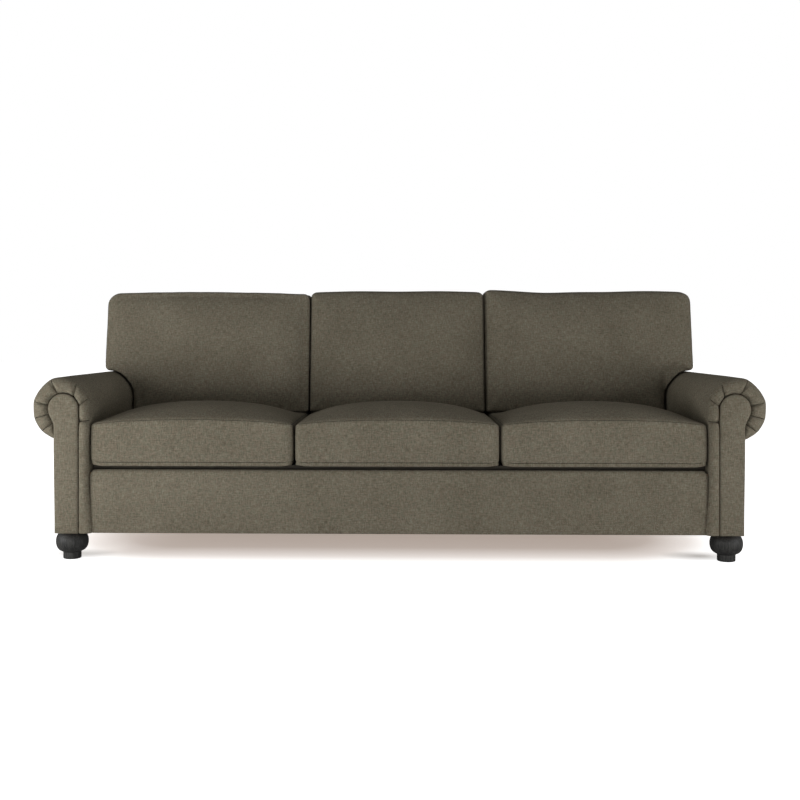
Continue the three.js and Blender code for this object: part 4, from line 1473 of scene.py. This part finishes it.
@dataclass
class Back:
    """The inside back's padded cover and the outside back."""

    layout: Layout
    finishes: Finishes
    corner: float = 0.045
    edge: float = 0.026
    inside_gap: float = 0.001
    rear_gap: float = 0.0006
    cloth_thickness: float = 0.003
    edge_segments: int = 6
    rim_from: float = 0.01
    corner_steps: int = 10
    roll_end_steps: int = 24
    rear_rise: tuple[Pair, ...] = (
        (0.001, 0.0004), (0.002, 0.0004), (0.01, 0.0002),
    )

    def top_corner(self) -> list[Pair]:
        """The rounded top corner of the back at its right end."""
        layout = self.layout
        centre = (layout.arm_outside - self.corner, layout.back_top - self.corner)
        return arc(centre, self.corner, 0, 90, self.corner_steps)

    def outline(self) -> list[Pair]:
        """The back from the front: between the arms below, out over them above."""
        layout = self.layout
        low_x = layout.arm_inside - self.inside_gap
        high_x = layout.arm_outside
        shoulder = layout.roll_z + layout.roll_height + self.inside_gap
        half = [(low_x, layout.back_bottom), (low_x, shoulder), (high_x, shoulder)]
        half += self.top_corner()
        return half + [(-x, z) for x, z in reversed(half)]

    def build_inside(self) -> None:
        """Make the padded inside back, wrapped over the frame and open behind."""
        layout = self.layout
        bm = bmesh.new()
        face = polygon(bm, [Vector((x, 0, z)) for x, z in self.outline()])
        extrude(bm, face, Vector((0, 1, 0)))
        face_outwards(bm)
        front, rear = end_face(bm, -1), end_face(bm, 1)
        rim = [
            edge for edge in front.edges
            if max(vert.co.z for vert in edge.verts) > layout.back_bottom + self.rim_from
        ]
        for vert in bm.verts:
            z = vert.co.z
            near = vert.co.y < 0.5
            vert.co.y = layout.inside_y(z) if near else layout.reach_back(z, self.rear_gap)
        bevelled(bm, rim, self.edge, self.edge_segments)
        bmesh.ops.delete(bm, geom=[rear], context="FACES_ONLY")
        box_uv(bm)
        split_large(bm)
        cloth = finish_mesh(bm, "inside_back_cloth", self.finishes.upholstery, recalc=False)
        thickened(cloth, self.cloth_thickness)
        settle(cloth, Slot.UPHOLSTERY, "inside_back_cover", fill=0.7)

    def build_outside(self) -> None:
        """Make the flat outside back, which also closes the rear ends of the rolls."""
        layout = self.layout
        reach = math.acos((layout.arm_outside - layout.roll_x) / layout.roll_width)
        degrees = math.degrees(reach)
        half = [(layout.arm_outside, layout.base)]
        for x, z in arc((0, 0), 1.0, -degrees, degrees, self.roll_end_steps):
            out, up = layout.roll_width * x, layout.roll_height * z
            half.append((layout.roll_x + out, layout.roll_z + up))
        half += self.top_corner()
        flat = half + [(-x, z) for x, z in reversed(half)]
        bm = bmesh.new()
        face = polygon(bm, [Vector((x, 0, z)) for x, z in flat])
        face_outwards(bm)
        if face.normal.y < 0:
            bmesh.ops.reverse_faces(bm, faces=[face])
        rise = sum(step for _, step in self.rear_rise)
        extrude(bm, face, Vector((0, rise - layout.cover, 0)))
        face_outwards(bm)
        padded_edge(bm, end_face(bm, 1), self.rear_rise)
        for vert in bm.verts:
            vert.co.y += layout.rear_y(vert.co.z) - rise
        box_uv(bm)
        split_large(bm)
        cloth = finish_mesh(bm, "outside_back_cloth", self.finishes.upholstery)
        settle(cloth, Slot.UPHOLSTERY, "outside_back_panel")

    def build(self) -> None:
        """Make the back's soft pieces."""
        self.build_inside()
        self.build_outside()


@dataclass(frozen=True)
class Corner:
    """A corner of a cushion's outline, and the side that follows it."""

    a: float
    b: float
    radius: float
    draw: float = 0.0
    rise: float = 0.0

    @property
    def spot(self) -> Vector:
        """The corner's place in the outline's plane."""
        return Vector((self.a, self.b))


@dataclass
class Cushion:
    """A loose boxed cushion: a sewn cover over a foam core.

    Its form is shaped in its own plane, a and b, with h from the face that it lies on to
    its crowned face, and then placed.
    """

    name: str
    corners: tuple[Corner, ...]
    centre: Vector
    low_seam: float
    high_seam: float
    crown: float
    to_world: Callable[[float, float, float], Vector]
    finishes: Finishes
    rest_at: float = math.inf
    lies_on: Callable[[float, float], float] | None = None
    ear: float = 1.0
    lifts: tuple[Triple, ...] = ()
    lift_reach: float = 0.12
    corner_lift: float = 0.0
    corner_reach: float = 0.022
    edge_drop: float = 0.0
    edge_reach: float = 0.02
    crown_ease: float = 0.12
    swell: float = 0.002
    swell_power: float = 0.8
    wall_reach: float = 0.016
    shrink: float = 0.0006
    voxel: float = 0.008
    pressure: float = 4.0
    cap: float = 0.006
    wall_cap: float = 0.0012
    groove_depth: float = 0.0022
    groove_width: float = 0.006
    groove_reach: float = 0.024
    pucker: float = 0.0006
    pucker_reach: float = 0.015
    pucker_pitch: float = 0.03
    # The seam line: the thread, with the shade along the seam painted dark.
    seam_radius: float = 0.0012
    seam_sink: float = 0.0006
    fill: float = 0.8
    seed: int = 1
    arc_steps: int = 6
    draw_reach: float = 0.05
    draw_power: float = 0.6
    rise_reach: float = 0.09
    sewn_reach: float = 1.3
    lying_reach: float = 0.6
    frames: int = 20
    seam_step: float = 0.006
    seam_rounds: int = 3
    seam_slack: float = 0.002
    seam_neighbours: int = 6
    seam_blend: float = 1e-4
    core_round: float = 0.006

    def rounded_outline(self) -> list[Vector]:
        """The outline through its corners, with each corner rounded."""
        spots = []
        count = len(self.corners)
        for i, corner in enumerate(self.corners):
            here = corner.spot
            before = (self.corners[i - 1].spot - here).normalized()
            after = (self.corners[(i + 1) % count].spot - here).normalized()
            half = before.angle(after) / 2
            setback = corner.radius / math.tan(half)
            middle = here + (before + after).normalized() * corner.radius / math.sin(half)
            start = here + before * setback - middle
            end = here + after * setback - middle
            turn = start.angle_signed(end)
            for step in range(self.arc_steps + 1):
                angle = turn * step / self.arc_steps
                spots.append(middle + Matrix.Rotation(-angle, 2) @ start)
        return spots

    def from_side(self, i: int, spot: Vector) -> Pair:
        """How far a spot lies from a side, and where along that side."""
        start = self.corners[i].spot
        along = self.corners[(i + 1) % len(self.corners)].spot - start
        share = min(max((spot - start).dot(along) / along.length_squared, 0.0), 1.0)
        return (spot - start - along * share).length, share

    def to_edge(self, spot: Vector) -> float:
        """How far a spot lies from the nearest side."""
        return min(self.from_side(i, spot)[0] for i in range(len(self.corners)))

    def hold(self, spot: Vector) -> float:
        """How little the sides and what rests on the cushion hold it down at a spot."""
        held = 1 - math.exp(-max(self.rest_at - spot.y, 0.0) / self.crown_ease)
        for i in range(len(self.corners)):
            distance, _ = self.from_side(i, spot)
            held *= 1 - math.exp(-distance / self.crown_ease)
        return held

    def shaped(self, rest: Vector, full_hold: float) -> Vector:
        """Where a point of the square-cut slab lies on the filled cushion.

        Args:
            rest: The point on the slab, as a, b and h.
            full_hold: The hold at the cushion's centre.

        Returns:
            The point on the cushion, as a, b and h.
        """
        spot = Vector((rest.x, rest.y))
        share = min(max(rest.z / self.high_seam, 0.0), 1.0)
        full = self.hold(spot) / full_hold
        height = rest.z + self.crown * full * share
        nearest = self.to_edge(spot)
        wall = math.exp(-((nearest / self.wall_reach) ** 2))
        moved = Vector((rest.x, rest.y))
        outward = arch(share) ** self.swell_power * self.swell * wall
        for i, corner in enumerate(self.corners):
            distance, t = self.from_side(i, spot)
            bow = arch(t) ** self.draw_power
            following = self.corners[(i + 1) % len(self.corners)]
            along = (following.spot - corner.spot).normalized()
            inward = Vector((-along.y, along.x))
            near = math.exp(-distance / self.draw_reach)
            moved += inward * (corner.draw * bow * near)
            height += corner.rise * bow * share * math.exp(-distance / self.rise_reach)
            if distance <= nearest + 1e-6:
                moved -= inward * outward
        for corner in self.corners:
            away = (rest.xy - corner.spot).length / self.corner_reach
            height += self.corner_lift * math.exp(-away * away) * (1 - share)
        height -= self.edge_drop * math.exp(-nearest / self.edge_reach) * share
        for a, b, lift in self.lifts:
            away = (rest.xy - Vector((a, b))).length / self.lift_reach
            moved.y += lift * math.exp(-away * away)
        if self.lies_on:
            bottom = min(corner.b for corner in self.corners)
            down = min(max((self.ear - rest.y) / (self.ear - bottom), 0.0), 1.0)
            world = self.to_world(moved.x, bottom, height)
            moved.y += (self.lies_on(world.x, world.y) - bottom) * down
        return Vector((moved.x, moved.y, height))

    def top_at(self, x: float, y: float) -> float:
        """The height of the cushion's crowned face over a place, where it lies flat."""
        spot = Vector((x, y))
        full = self.hold(spot) / self.hold(self.centre)
        return self.to_world(x, y, self.high_seam + self.crown * full).z

    def slab(self) -> Object:
        """The square-cut slab, remeshed to even faces, in a, b and h."""
        bm = bmesh.new()
        face = polygon(bm, [spot.to_3d() for spot in self.rounded_outline()])
        extrude(bm, face, Vector((0, 0, self.high_seam)))
        face_outwards(bm)
        for vert in bm.verts:
            inward = self.centre - vert.co.xy
            vert.co.x += math.copysign(self.shrink, inward.x)
            vert.co.y += math.copysign(self.shrink, inward.y)
        split_large(bm)
        piece = finish_mesh(bm, self.name, self.finishes.upholstery)
        remesh = piece.modifiers.new("even", "REMESH")
        remesh.mode = "VOXEL"
        remesh.voxel_size = self.voxel
        baked(piece)
        return piece

    def is_sewn(self, rest: Vector) -> bool:
        """Whether a point lies on the face the cushion rests on, or beside its top seam."""
        away = math.hypot(self.to_edge(rest.xy) - self.shrink, rest.z - self.high_seam)
        lying = rest.z < self.low_seam + self.lying_reach * self.voxel
        return lying or away < self.sewn_reach * self.voxel

    def simulate(self, piece: Object, rest: list[Vector]) -> None:
        """Fill the cover with air for some frames, and cap how far it may move.

        Args:
            piece: The shaped cushion.
            rest: Where its vertices lie on the square-cut slab.
        """
        before = [vert.co.copy() for vert in piece.data.vertices]
        held = [i for i, spot in enumerate(rest) if self.is_sewn(spot)]
        group = piece.vertex_groups.new(name="held")
        group.add(held, 1.0, "REPLACE")
        cloth = piece.modifiers.new("air", "CLOTH")
        for name, value in (
            ("quality", 3),
            ("mass", 0.4),
            ("tension_stiffness", 25),
            ("compression_stiffness", 25),
            ("shear_stiffness", 15),
            ("bending_stiffness", 1.5),
            ("use_pressure", True),
            ("uniform_pressure_force", self.pressure),
            ("vertex_group_mass", group.name),
        ):
            setattr(cloth.settings, name, value)
        cloth.settings.effector_weights.gravity = 0
        cloth.collision_settings.use_collision = False
        cloth.point_cache.frame_start = 1
        cloth.point_cache.frame_end = self.frames
        scene = bpy.context.scene
        for number in range(1, self.frames + 1):
            scene.frame_set(number)
        baked(piece)
        scene.frame_set(1)
        top = self.high_seam - self.voxel
        for vert, start, spot in zip(piece.data.vertices, before, rest):
            move = vert.co - start
            cap = self.cap if spot.z > top else self.wall_cap
            if move.length > cap:
                vert.co = start + move.normalized() * cap
        piece.vertex_groups.clear()

    def build_cover(self) -> None:
        """Make the cushion's cover: shape it, fill it, smooth it and sew its seams."""
        piece = self.slab()
        mesh = piece.data
        rest = [vert.co.copy() for vert in mesh.vertices]
        full_hold = self.hold(self.centre)
        for vert in mesh.vertices:
            vert.co = self.to_world(*self.shaped(vert.co, full_hold))
        store = mesh.attributes.new(REST, "FLOAT_VECTOR", "POINT")
        for item, spot in zip(store.data, rest):
            item.vector = spot
        self.simulate(piece, rest)
        subdivided(piece)
        baked(piece)
        self.sew(piece)
        settle(piece, Slot.UPHOLSTERY, f"{self.name}_cover", fill=self.fill, body=self.name)

    def sew(self, piece: Object) -> None:
        """Pull the cover in along its seams, lay its cloth and add the dark seam lines of painted
        shade.
        """
        bm = bmesh.new()
        bm.from_mesh(piece.data)
        layer = bm.verts.layers.float_vector[REST]
        bm.normal_update()
        tree = kdtree.KDTree(len(bm.verts))
        for i, vert in enumerate(bm.verts):
            tree.insert(vert[layer], i)
        tree.balance()
        bm.verts.ensure_lookup_table()
        heights = {"low": self.low_seam, "high": self.high_seam}
        outline = self.resampled(self.rounded_outline(), self.seam_step)
        reach = self.groove_reach
        moves = {}
        for vert in bm.verts:
            r = vert[layer]
            nearest = self.to_edge(r.xy)
            if nearest > reach:
                continue
            for height in heights.values():
                beside = max(nearest - self.shrink - self.seam_slack, 0.0)
                away = math.hypot(beside, r.z - height)
                if away < reach:
                    deep = math.exp(-((away / self.groove_width) ** 2))
                    ripple = noise.noise(Vector((r.x, r.y, self.seed)) / self.pucker_pitch)
                    soft = math.exp(-((away / self.pucker_reach) ** 2))
                    amount = self.groove_depth * deep + self.pucker * ripple * soft
                    moves[vert] = moves.get(vert, 0.0) + amount
        for vert, amount in moves.items():
            vert.co -= vert.normal * amount
        box_uv(bm, rest=lambda vert: vert[layer])
        bm.normal_update()
        for end, height in heights.items():
            spots = []
            for point in outline:
                found = tree.find_n(Vector((*point, height)), self.seam_neighbours)
                weights = [1 / (distance + self.seam_blend) for _, _, distance in found]
                total = sum(weights)
                spot = Vector((0, 0, 0))
                normal = Vector((0, 0, 0))
                for (_, i, _), weight in zip(found, weights):
                    spot += bm.verts[i].co * (weight / total)
                    normal += bm.verts[i].normal * (weight / total)
                spots.append(spot - normal.normalized() * self.seam_sink)
            spots = self.relaxed(spots, self.seam_rounds)
            # A dark line along the seam: the thread, with the seam's shade painted on it.
            seam = SeamShadowLine(self.seam_radius, self.finishes.seam)
            thread = seam.piece(f"{self.name}_{end}_seam", spots, closed=True)
            settle(thread, Slot.UPHOLSTERY, body=self.name)
        bm.to_mesh(piece.data)
        bm.free()
        piece.data.shade_smooth()

    @staticmethod
    def resampled(spots: list[Vector], step: float) -> list[Vector]:
        """A closed outline with a point every step."""
        made = []
        for first, second in zip(spots, spots[1:] + spots[:1]):
            parts = max(round((second - first).length / step), 1)
            made += [first.lerp(second, i / parts) for i in range(parts)]
        return made

    @staticmethod
    def relaxed(spots: list[Vector], rounds: int) -> list[Vector]:
        """A closed line with its small steps evened out."""
        for _ in range(rounds):
            spots = [
                (spots[i - 1] + spots[i] * 2 + spots[(i + 1) % len(spots)]) / 4
                for i in range(len(spots))
            ]
        return spots

    def build_core(self) -> None:
        """Make the foam core: a square-cut block with its edges eased."""
        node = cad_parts[f"{self.name}_core"]
        bm = bmesh.new()
        bm.from_mesh(node.data)
        bmesh.ops.remove_doubles(bm, verts=bm.verts, dist=WELD)
        bmesh.ops.dissolve_limit(
            bm, angle_limit=math.radians(2), verts=bm.verts, edges=bm.edges
        )
        bevelled(bm, bm.edges, self.core_round)
        core = finish_mesh(bm, f"{self.name}_foam", self.finishes.foam)
        settle(core, Slot.FOAM, f"{self.name}_core", fill=1.0, body=self.name)

    def build(self) -> None:
        """Make the cushion's cover, seams and core."""
        self.build_cover()
        self.build_core()


@dataclass
class Cushions:
    """The three seat cushions and the three back cushions."""

    layout: Layout
    finishes: Finishes
    corner: float = 0.018
    back_corner: float = 0.008
    right_gap_shift: float = 0.007
    low_seam: float = 0.011
    seat_seam: float = 0.139
    seat_crown: float = 0.057
    seat_rise: float = 0.018
    seat_draw: float = 0.002
    seat_inset: float = -0.0004
    corner_lift: float = 0.006
    edge_drop: float = 0.022
    edge_reach: float = 0.02
    back_rear_crown: float = 0.012
    back_boxing: float = 0.165
    back_crown: float = 0.04
    arm_clearance: float = 0.007
    rest_gap: float = 0.0025
    lie_gap: float = 0.001
    notch: float = 0.105
    ear_corner: float = 0.014
    top_outer: float = 0.045
    top_inner: float = 0.022
    ear_gap: float = 0.006
    back_swell: float = 0.0016
    top_lifts: dict[str, tuple[Pair, ...]] = field(default_factory=lambda: {
        "left": (
            (0.37, -0.013), (0.57, -0.007), (0.75, -0.004), (0.93, -0.005), (1.11, -0.009),
        ),
        "middle": ((-0.33, -0.005), (0.33, -0.005), (0.0, -0.003)),
        "right": ((0.32, 0.004), (0.58, -0.008), (0.8, -0.005), (1.13, -0.005)),
    })
    seats: dict[str, Cushion] = field(default_factory=dict, init=False)

    def seat_top(self, x: float, y: float) -> float:
        """How high the seat cushions reach under a place, with a little room over them."""
        under = min(self.seats.values(), key=lambda seat: abs(seat.centre.x - x))
        return under.top_at(x, y) + self.rest_gap

    def seat(self, word: str) -> Cushion:
        """A seat cushion.

        Args:
            word: left, middle or right.

        Returns:
            The cushion.
        """
        layout = self.layout
        low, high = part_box(f"seat_cushion_{word}_cover")
        radius, inset = self.corner, self.seat_inset
        corners = (
            Corner(low.x + inset, low.y, radius, 0.0, self.seat_rise),
            Corner(high.x - inset, low.y, radius, self.seat_draw),
            Corner(high.x - inset, high.y, radius),
            Corner(low.x + inset, high.y, radius, self.seat_draw),
        )
        back_front = layout.inside_y(layout.deck + self.seat_seam) - self.back_boxing
        return Cushion(
            name=f"seat_cushion_{word}",
            corners=corners,
            centre=Vector(((low.x + high.x) / 2, (low.y + high.y) / 2)),
            low_seam=self.low_seam,
            high_seam=self.seat_seam,
            crown=self.seat_crown,
            to_world=lambda a, b, h: Vector((a, b, low.z + h)),
            finishes=self.finishes,
            rest_at=back_front - self.back_rear_crown,
            corner_lift=self.corner_lift,
            seed={"left": 1, "middle": 2, "right": 3}[word],
        )

    def back(self, word: str) -> Cushion:
        """A back cushion. The outer two have an ear that reaches out over the arm.

        Args:
            word: left, middle or right.

        Returns:
            The cushion.
        """
        layout = self.layout
        low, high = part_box(f"back_cushion_{word}_cover")
        if word == "middle":
            high.x -= self.right_gap_shift
        elif word == "right":
            low.x -= self.right_gap_shift
        sign = {"left": -1, "middle": 1, "right": 1}[word]
        lifts = tuple((a, high.z, lift) for a, lift in self.top_lifts[word])
        ear = layout.roll_z + layout.roll_height + self.ear_gap
        if word == "middle":
            corners = (
                Corner(low.x, low.z, self.back_corner),
                Corner(high.x, low.z, self.back_corner),
                Corner(high.x, high.z, self.top_inner),
                Corner(low.x, high.z, self.top_inner),
            )
            centre = Vector(((low.x + high.x) / 2, (low.z + high.z) / 2))
        else:
            inner = min(abs(low.x), abs(high.x))
            outer = max(abs(low.x), abs(high.x))
            side = layout.arm_inside - self.arm_clearance
            corners = (
                Corner(inner, low.z, self.back_corner),
                Corner(side, low.z, self.back_corner),
                Corner(side, ear, self.notch),
                Corner(outer, ear, self.ear_corner),
                Corner(outer, high.z, self.top_outer),
                Corner(inner, high.z, self.top_inner),
            )
            centre = Vector(((inner + outer) / 2, (ear + high.z) / 2))
        return Cushion(
            name=f"back_cushion_{word}",
            corners=corners,
            centre=centre,
            low_seam=self.back_rear_crown,
            high_seam=self.back_rear_crown + self.back_boxing,
            crown=self.back_crown,
            to_world=lambda a, b, h: Vector((a * sign, layout.inside_y(b) - self.lie_gap - h, b)),
            finishes=self.finishes,
            lies_on=self.seat_top,
            ear=ear,
            lifts=lifts,
            swell=self.back_swell,
            edge_drop=self.edge_drop,
            edge_reach=self.edge_reach,
            seed={"left": 4, "middle": 5, "right": 6}[word],
        )

    def build(self) -> None:
        """Make the six cushions."""
        words = ("left", "middle", "right")
        for word in words:
            self.seats[word] = self.seat(word)
        for word in words:
            self.seats[word].build()
            self.back(word).build()


@dataclass
class Webbing:
    """The back's woven straps: each goes over one crossing strap and under the next."""

    finishes: Finishes
    width: float = 0.05
    uprights: int = 10
    crossings: int = 4
    thickness: float = 0.00084
    rise: float = 0.00066
    step: float = 0.0125
    depth: float = 0.003

    def strap(
        self, bm: BMesh, start: Vector, along: Vector, across: Vector, over: Callable
    ) -> None:
        """Add one strap.

        Args:
            bm: The bmesh that holds the straps.
            start: A corner of the strap, in the plane of the straps.
            along: Its length, with the direction.
            across: Its width, with the direction.
            over: How far in front of the plane it runs at a place.
        """
        steps = round(along.length / self.step)
        made = bmesh.ops.create_grid(bm, x_segments=steps, y_segments=4, size=0.5)
        for vert in made["verts"]:
            spot = start + along * (vert.co.x + 0.5) + across * (vert.co.y + 0.5)
            vert.co = spot - Vector((0, over(spot), 0))

    def build(self) -> None:
        """Weave the straps and lean them with the back."""
        low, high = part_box("back_webbing")
        wide, tall = high.x - low.x, high.z - low.z
        lean = (high.y - low.y - self.depth) / tall
        pitch_x = (wide - self.width) / (self.uprights - 1)
        pitch_z = (tall - self.width) / (self.crossings - 1)

        def crossing(spot: Vector) -> float:
            column = (spot.x - low.x - self.width / 2) / pitch_x
            row = (spot.z - low.z - self.width / 2) / pitch_z
            return math.cos(math.pi * column) * math.cos(math.pi * row)

        bm = bmesh.new()
        for column in range(self.uprights):
            start = Vector((low.x + pitch_x * column, 0, low.z))
            along, across = Vector((0, 0, tall)), Vector((self.width, 0, 0))
            self.strap(bm, start, along, across, lambda spot: self.rise * crossing(spot))
        for row in range(self.crossings):
            start = Vector((low.x, 0, low.z + pitch_z * row))
            along, across = Vector((wide, 0, 0)), Vector((0, 0, self.width))
            self.strap(bm, start, along, across, lambda spot: -self.rise * crossing(spot))
        for vert in bm.verts:
            vert.co.y += low.y + self.depth / 2 + lean * (vert.co.z - low.z)
        straps = finish_mesh(bm, "back_straps", self.finishes.webbing, recalc=False)
        thickened(straps, self.thickness, offset=0.0)
        settle(straps, Slot.WEBBING, "back_webbing")


@dataclass
class HiddenFrame:
    """The frame's timber, springs and bolts, which keep their shape."""

    finishes: Finishes

    def build(self) -> None:
        """Give each carried-over node its material."""
        looks = {"spring": self.finishes.springs, "bolt": self.finishes.bolts}
        timber = ("rail", "brace", "post", "stay", "block")
        looks |= dict.fromkeys(timber, self.finishes.frame_wood)
        for name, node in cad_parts.items():
            if node.hide_render:
                continue
            material = next((look for word, look in looks.items() if word in name), None)
            if material is None:
                continue
            for held in node.material_slots:
                held.material = material
            log.info("%s: kept, in %s", name, material.name)


@dataclass(frozen=True)
class Lamp:
    """A soft area light: its place, what it faces, its width and height, and its watts."""

    name: str
    place: Triple
    target: Triple
    size: Pair
    energy: float

    def build(self) -> None:
        """Make the light."""
        data = bpy.data.lights.new(self.name, "AREA")
        data.shape = "RECTANGLE"
        data.size, data.size_y = self.size
        data.energy = self.energy
        light = linked(self.name, data)
        light.location = self.place
        aim = Vector(self.target) - Vector(self.place)
        light.rotation_euler = aim.to_track_quat("-Z", "Y").to_euler()
        light.visible_camera = False


@dataclass
class Studio:
    """The camera, the soft lights and the pale floor with its painted shadow."""

    camera_place: Triple = (0.024, -4.136, 0.743)
    camera_turn: float = 1.33
    focal: float = 50.0
    sensor: float = 36.0
    shift: Pair = (0.027, -0.0765)
    floor_size: float = 60.0
    sky: float = 0.26
    lamps: tuple[Lamp, ...] = (
        Lamp("bounce", (-1.7, -1.75, 0.02), (-1.496, -0.6, 1.4), (1.6, 1.3), 37.5),
        Lamp("bounce", (0.0, -1.75, 0.02), (0.0, -0.6, 1.4), (1.8, 1.3), 15.0),
        Lamp("bounce", (1.7, -1.75, 0.02), (1.496, -0.6, 1.4), (1.6, 1.3), 18.3),
        Lamp("side", (-2.9, -1.5, 0.7), (-1.0, 0.0, 0.6), (0.9, 1.2), 31.0),
        Lamp("side", (2.9, -1.5, 0.7), (1.0, 0.0, 0.6), (0.9, 1.2), 19.0),
        Lamp("rear", (0.0, 3.2, 0.75), (0.0, 0.5, 0.55), (3.0, 1.0), 60.0),
    )
    # The painted shadow under the sofa: its centre, how far it stays darkest in X, and its fade in
    # X and Y.
    shade_centre: Pair = (-0.035, 0.1)
    shade_flat: float = 0.74
    shade_fade: Pair = (0.47, 0.56)
    # The painted shadow by each foot: where it lies, how far it fades, and its darkest colour.
    foot_shade: Pair = (1.07, 0.41)
    foot_fade: Pair = (0.14, 0.09)
    foot_painted_shadow: Triple = (0.38, 0.36, 0.34)
    # The floor's glow by distance: painted shadow under the sofa, white beyond it.
    glow_and_painted_shadow_stops: tuple[tuple[float, Triple], ...] = (
        (0.0, (0.35, 0.28, 0.235)),
        (0.25, (0.42, 0.35, 0.305)),
        (0.4, (0.68, 0.62, 0.58)),
        (0.48, (0.92, 0.9, 0.88)),
        (0.56, (1.0, 1.0, 1.0)),
    )

    def build_camera(self) -> None:
        """Make the camera at the photo's viewing angle."""
        data = bpy.data.cameras.new("camera")
        data.lens = self.focal
        data.sensor_width = self.sensor
        data.shift_x, data.shift_y = self.shift
        camera = linked("camera", data)
        camera.location = self.camera_place
        camera.rotation_euler = (math.pi / 2, 0, math.radians(self.camera_turn))
        bpy.context.scene.camera = camera

    def build_sky(self) -> None:
        """Make an even pale sky, which shows as white behind the sofa."""
        world = bpy.data.worlds.new("studio")
        world.use_nodes = True
        tree = world.node_tree
        tree.nodes.clear()
        seen = tree.nodes.new("ShaderNodeLightPath")
        strength = tree.nodes.new("ShaderNodeMix")
        strength.inputs[2].default_value = self.sky
        strength.inputs[3].default_value = 1.0
        tree.links.new(seen.outputs["Is Camera Ray"], strength.inputs[0])
        glow = tree.nodes.new("ShaderNodeBackground")
        glow.inputs["Color"].default_value = (1.0, 1.0, 1.0, 1.0)
        tree.links.new(strength.outputs[0], glow.inputs["Strength"])
        out = tree.nodes.new("ShaderNodeOutputWorld")
        tree.links.new(glow.outputs[0], out.inputs["Surface"])
        bpy.context.scene.world = world

    @staticmethod
    def distance(s: Shader, vector: NodeSocket, reach: Pair) -> NodeSocket:
        """The distance along the floor that a vector spans, in shares of a reach in X and Y."""
        return s.vector("LENGTH", s.vector("MULTIPLY", vector, (1 / reach[0], 1 / reach[1], 0)))

    def build_floor(self) -> None:
        """Make the pale floor, lit by itself to show white round the sofa, with painted shadow
        under the sofa and its feet.
        """
        s = Shader("pale_floor_painted_shadow")
        diffuse = s.add("BsdfDiffuse", {"Color": (0.8, 0.8, 0.8, 1.0)})
        centred = s.vector("SUBTRACT", s.place(), (*self.shade_centre, 0))
        folded = s.vector("ABSOLUTE", centred)
        past = s.vector("SUBTRACT", folded, (self.shade_flat, 0, 0))
        away = self.distance(s, s.vector("MAXIMUM", past), self.shade_fade)
        # Painted shadow: the glow darkens under the sofa and by each foot.
        glow = s.ramp(s.math("MULTIPLY", away, 0.5), self.glow_and_painted_shadow_stops)
        foot = s.vector("SUBTRACT", folded, (*self.foot_shade, 0))
        near = self.distance(s, foot, self.foot_fade)
        glow = s.tinted(glow, s.between(near, (0.0, 1.0), self.foot_painted_shadow, 1.0))
        seen = s.add("LightPath").outputs["Is Camera Ray"]
        light = s.add("Emission", {"Color": glow, "Strength": seen})
        both = s.add("AddShader", {0: diffuse.outputs[0], 1: light.outputs[0]})
        s.add("OutputMaterial", {"Surface": both.outputs[0]})
        bm = bmesh.new()
        bmesh.ops.create_grid(bm, x_segments=4, y_segments=4, size=self.floor_size / 2)
        floor = finish_mesh(bm, "floor", s.material, recalc=False)

    def build(self) -> None:
        """Make the studio."""
        self.build_camera()
        self.build_sky()
        for lamp in self.lamps:
            lamp.build()
        self.build_floor()
        view = bpy.context.scene.view_settings
        view.view_transform = "Standard"
        view.look = "None"


def main() -> None:
    """Build the sofa's looks in order."""
    logging.basicConfig(level=logging.INFO, format="%(name)s %(message)s")
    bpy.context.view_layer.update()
    finishes = Finishes()
    layout = Layout.from_frame()
    Studio().build()
    Base(layout, finishes).build()
    for side in Side:
        RollArm(side, layout, finishes).build()
        for end in ("front", "rear"):
            BunFoot(end, side, finishes).build()
    Back(layout, finishes).build()
    Cushions(layout, finishes).build()
    Webbing(finishes).build()
    HiddenFrame(finishes).build()


if __name__ == "__main__":
    main()
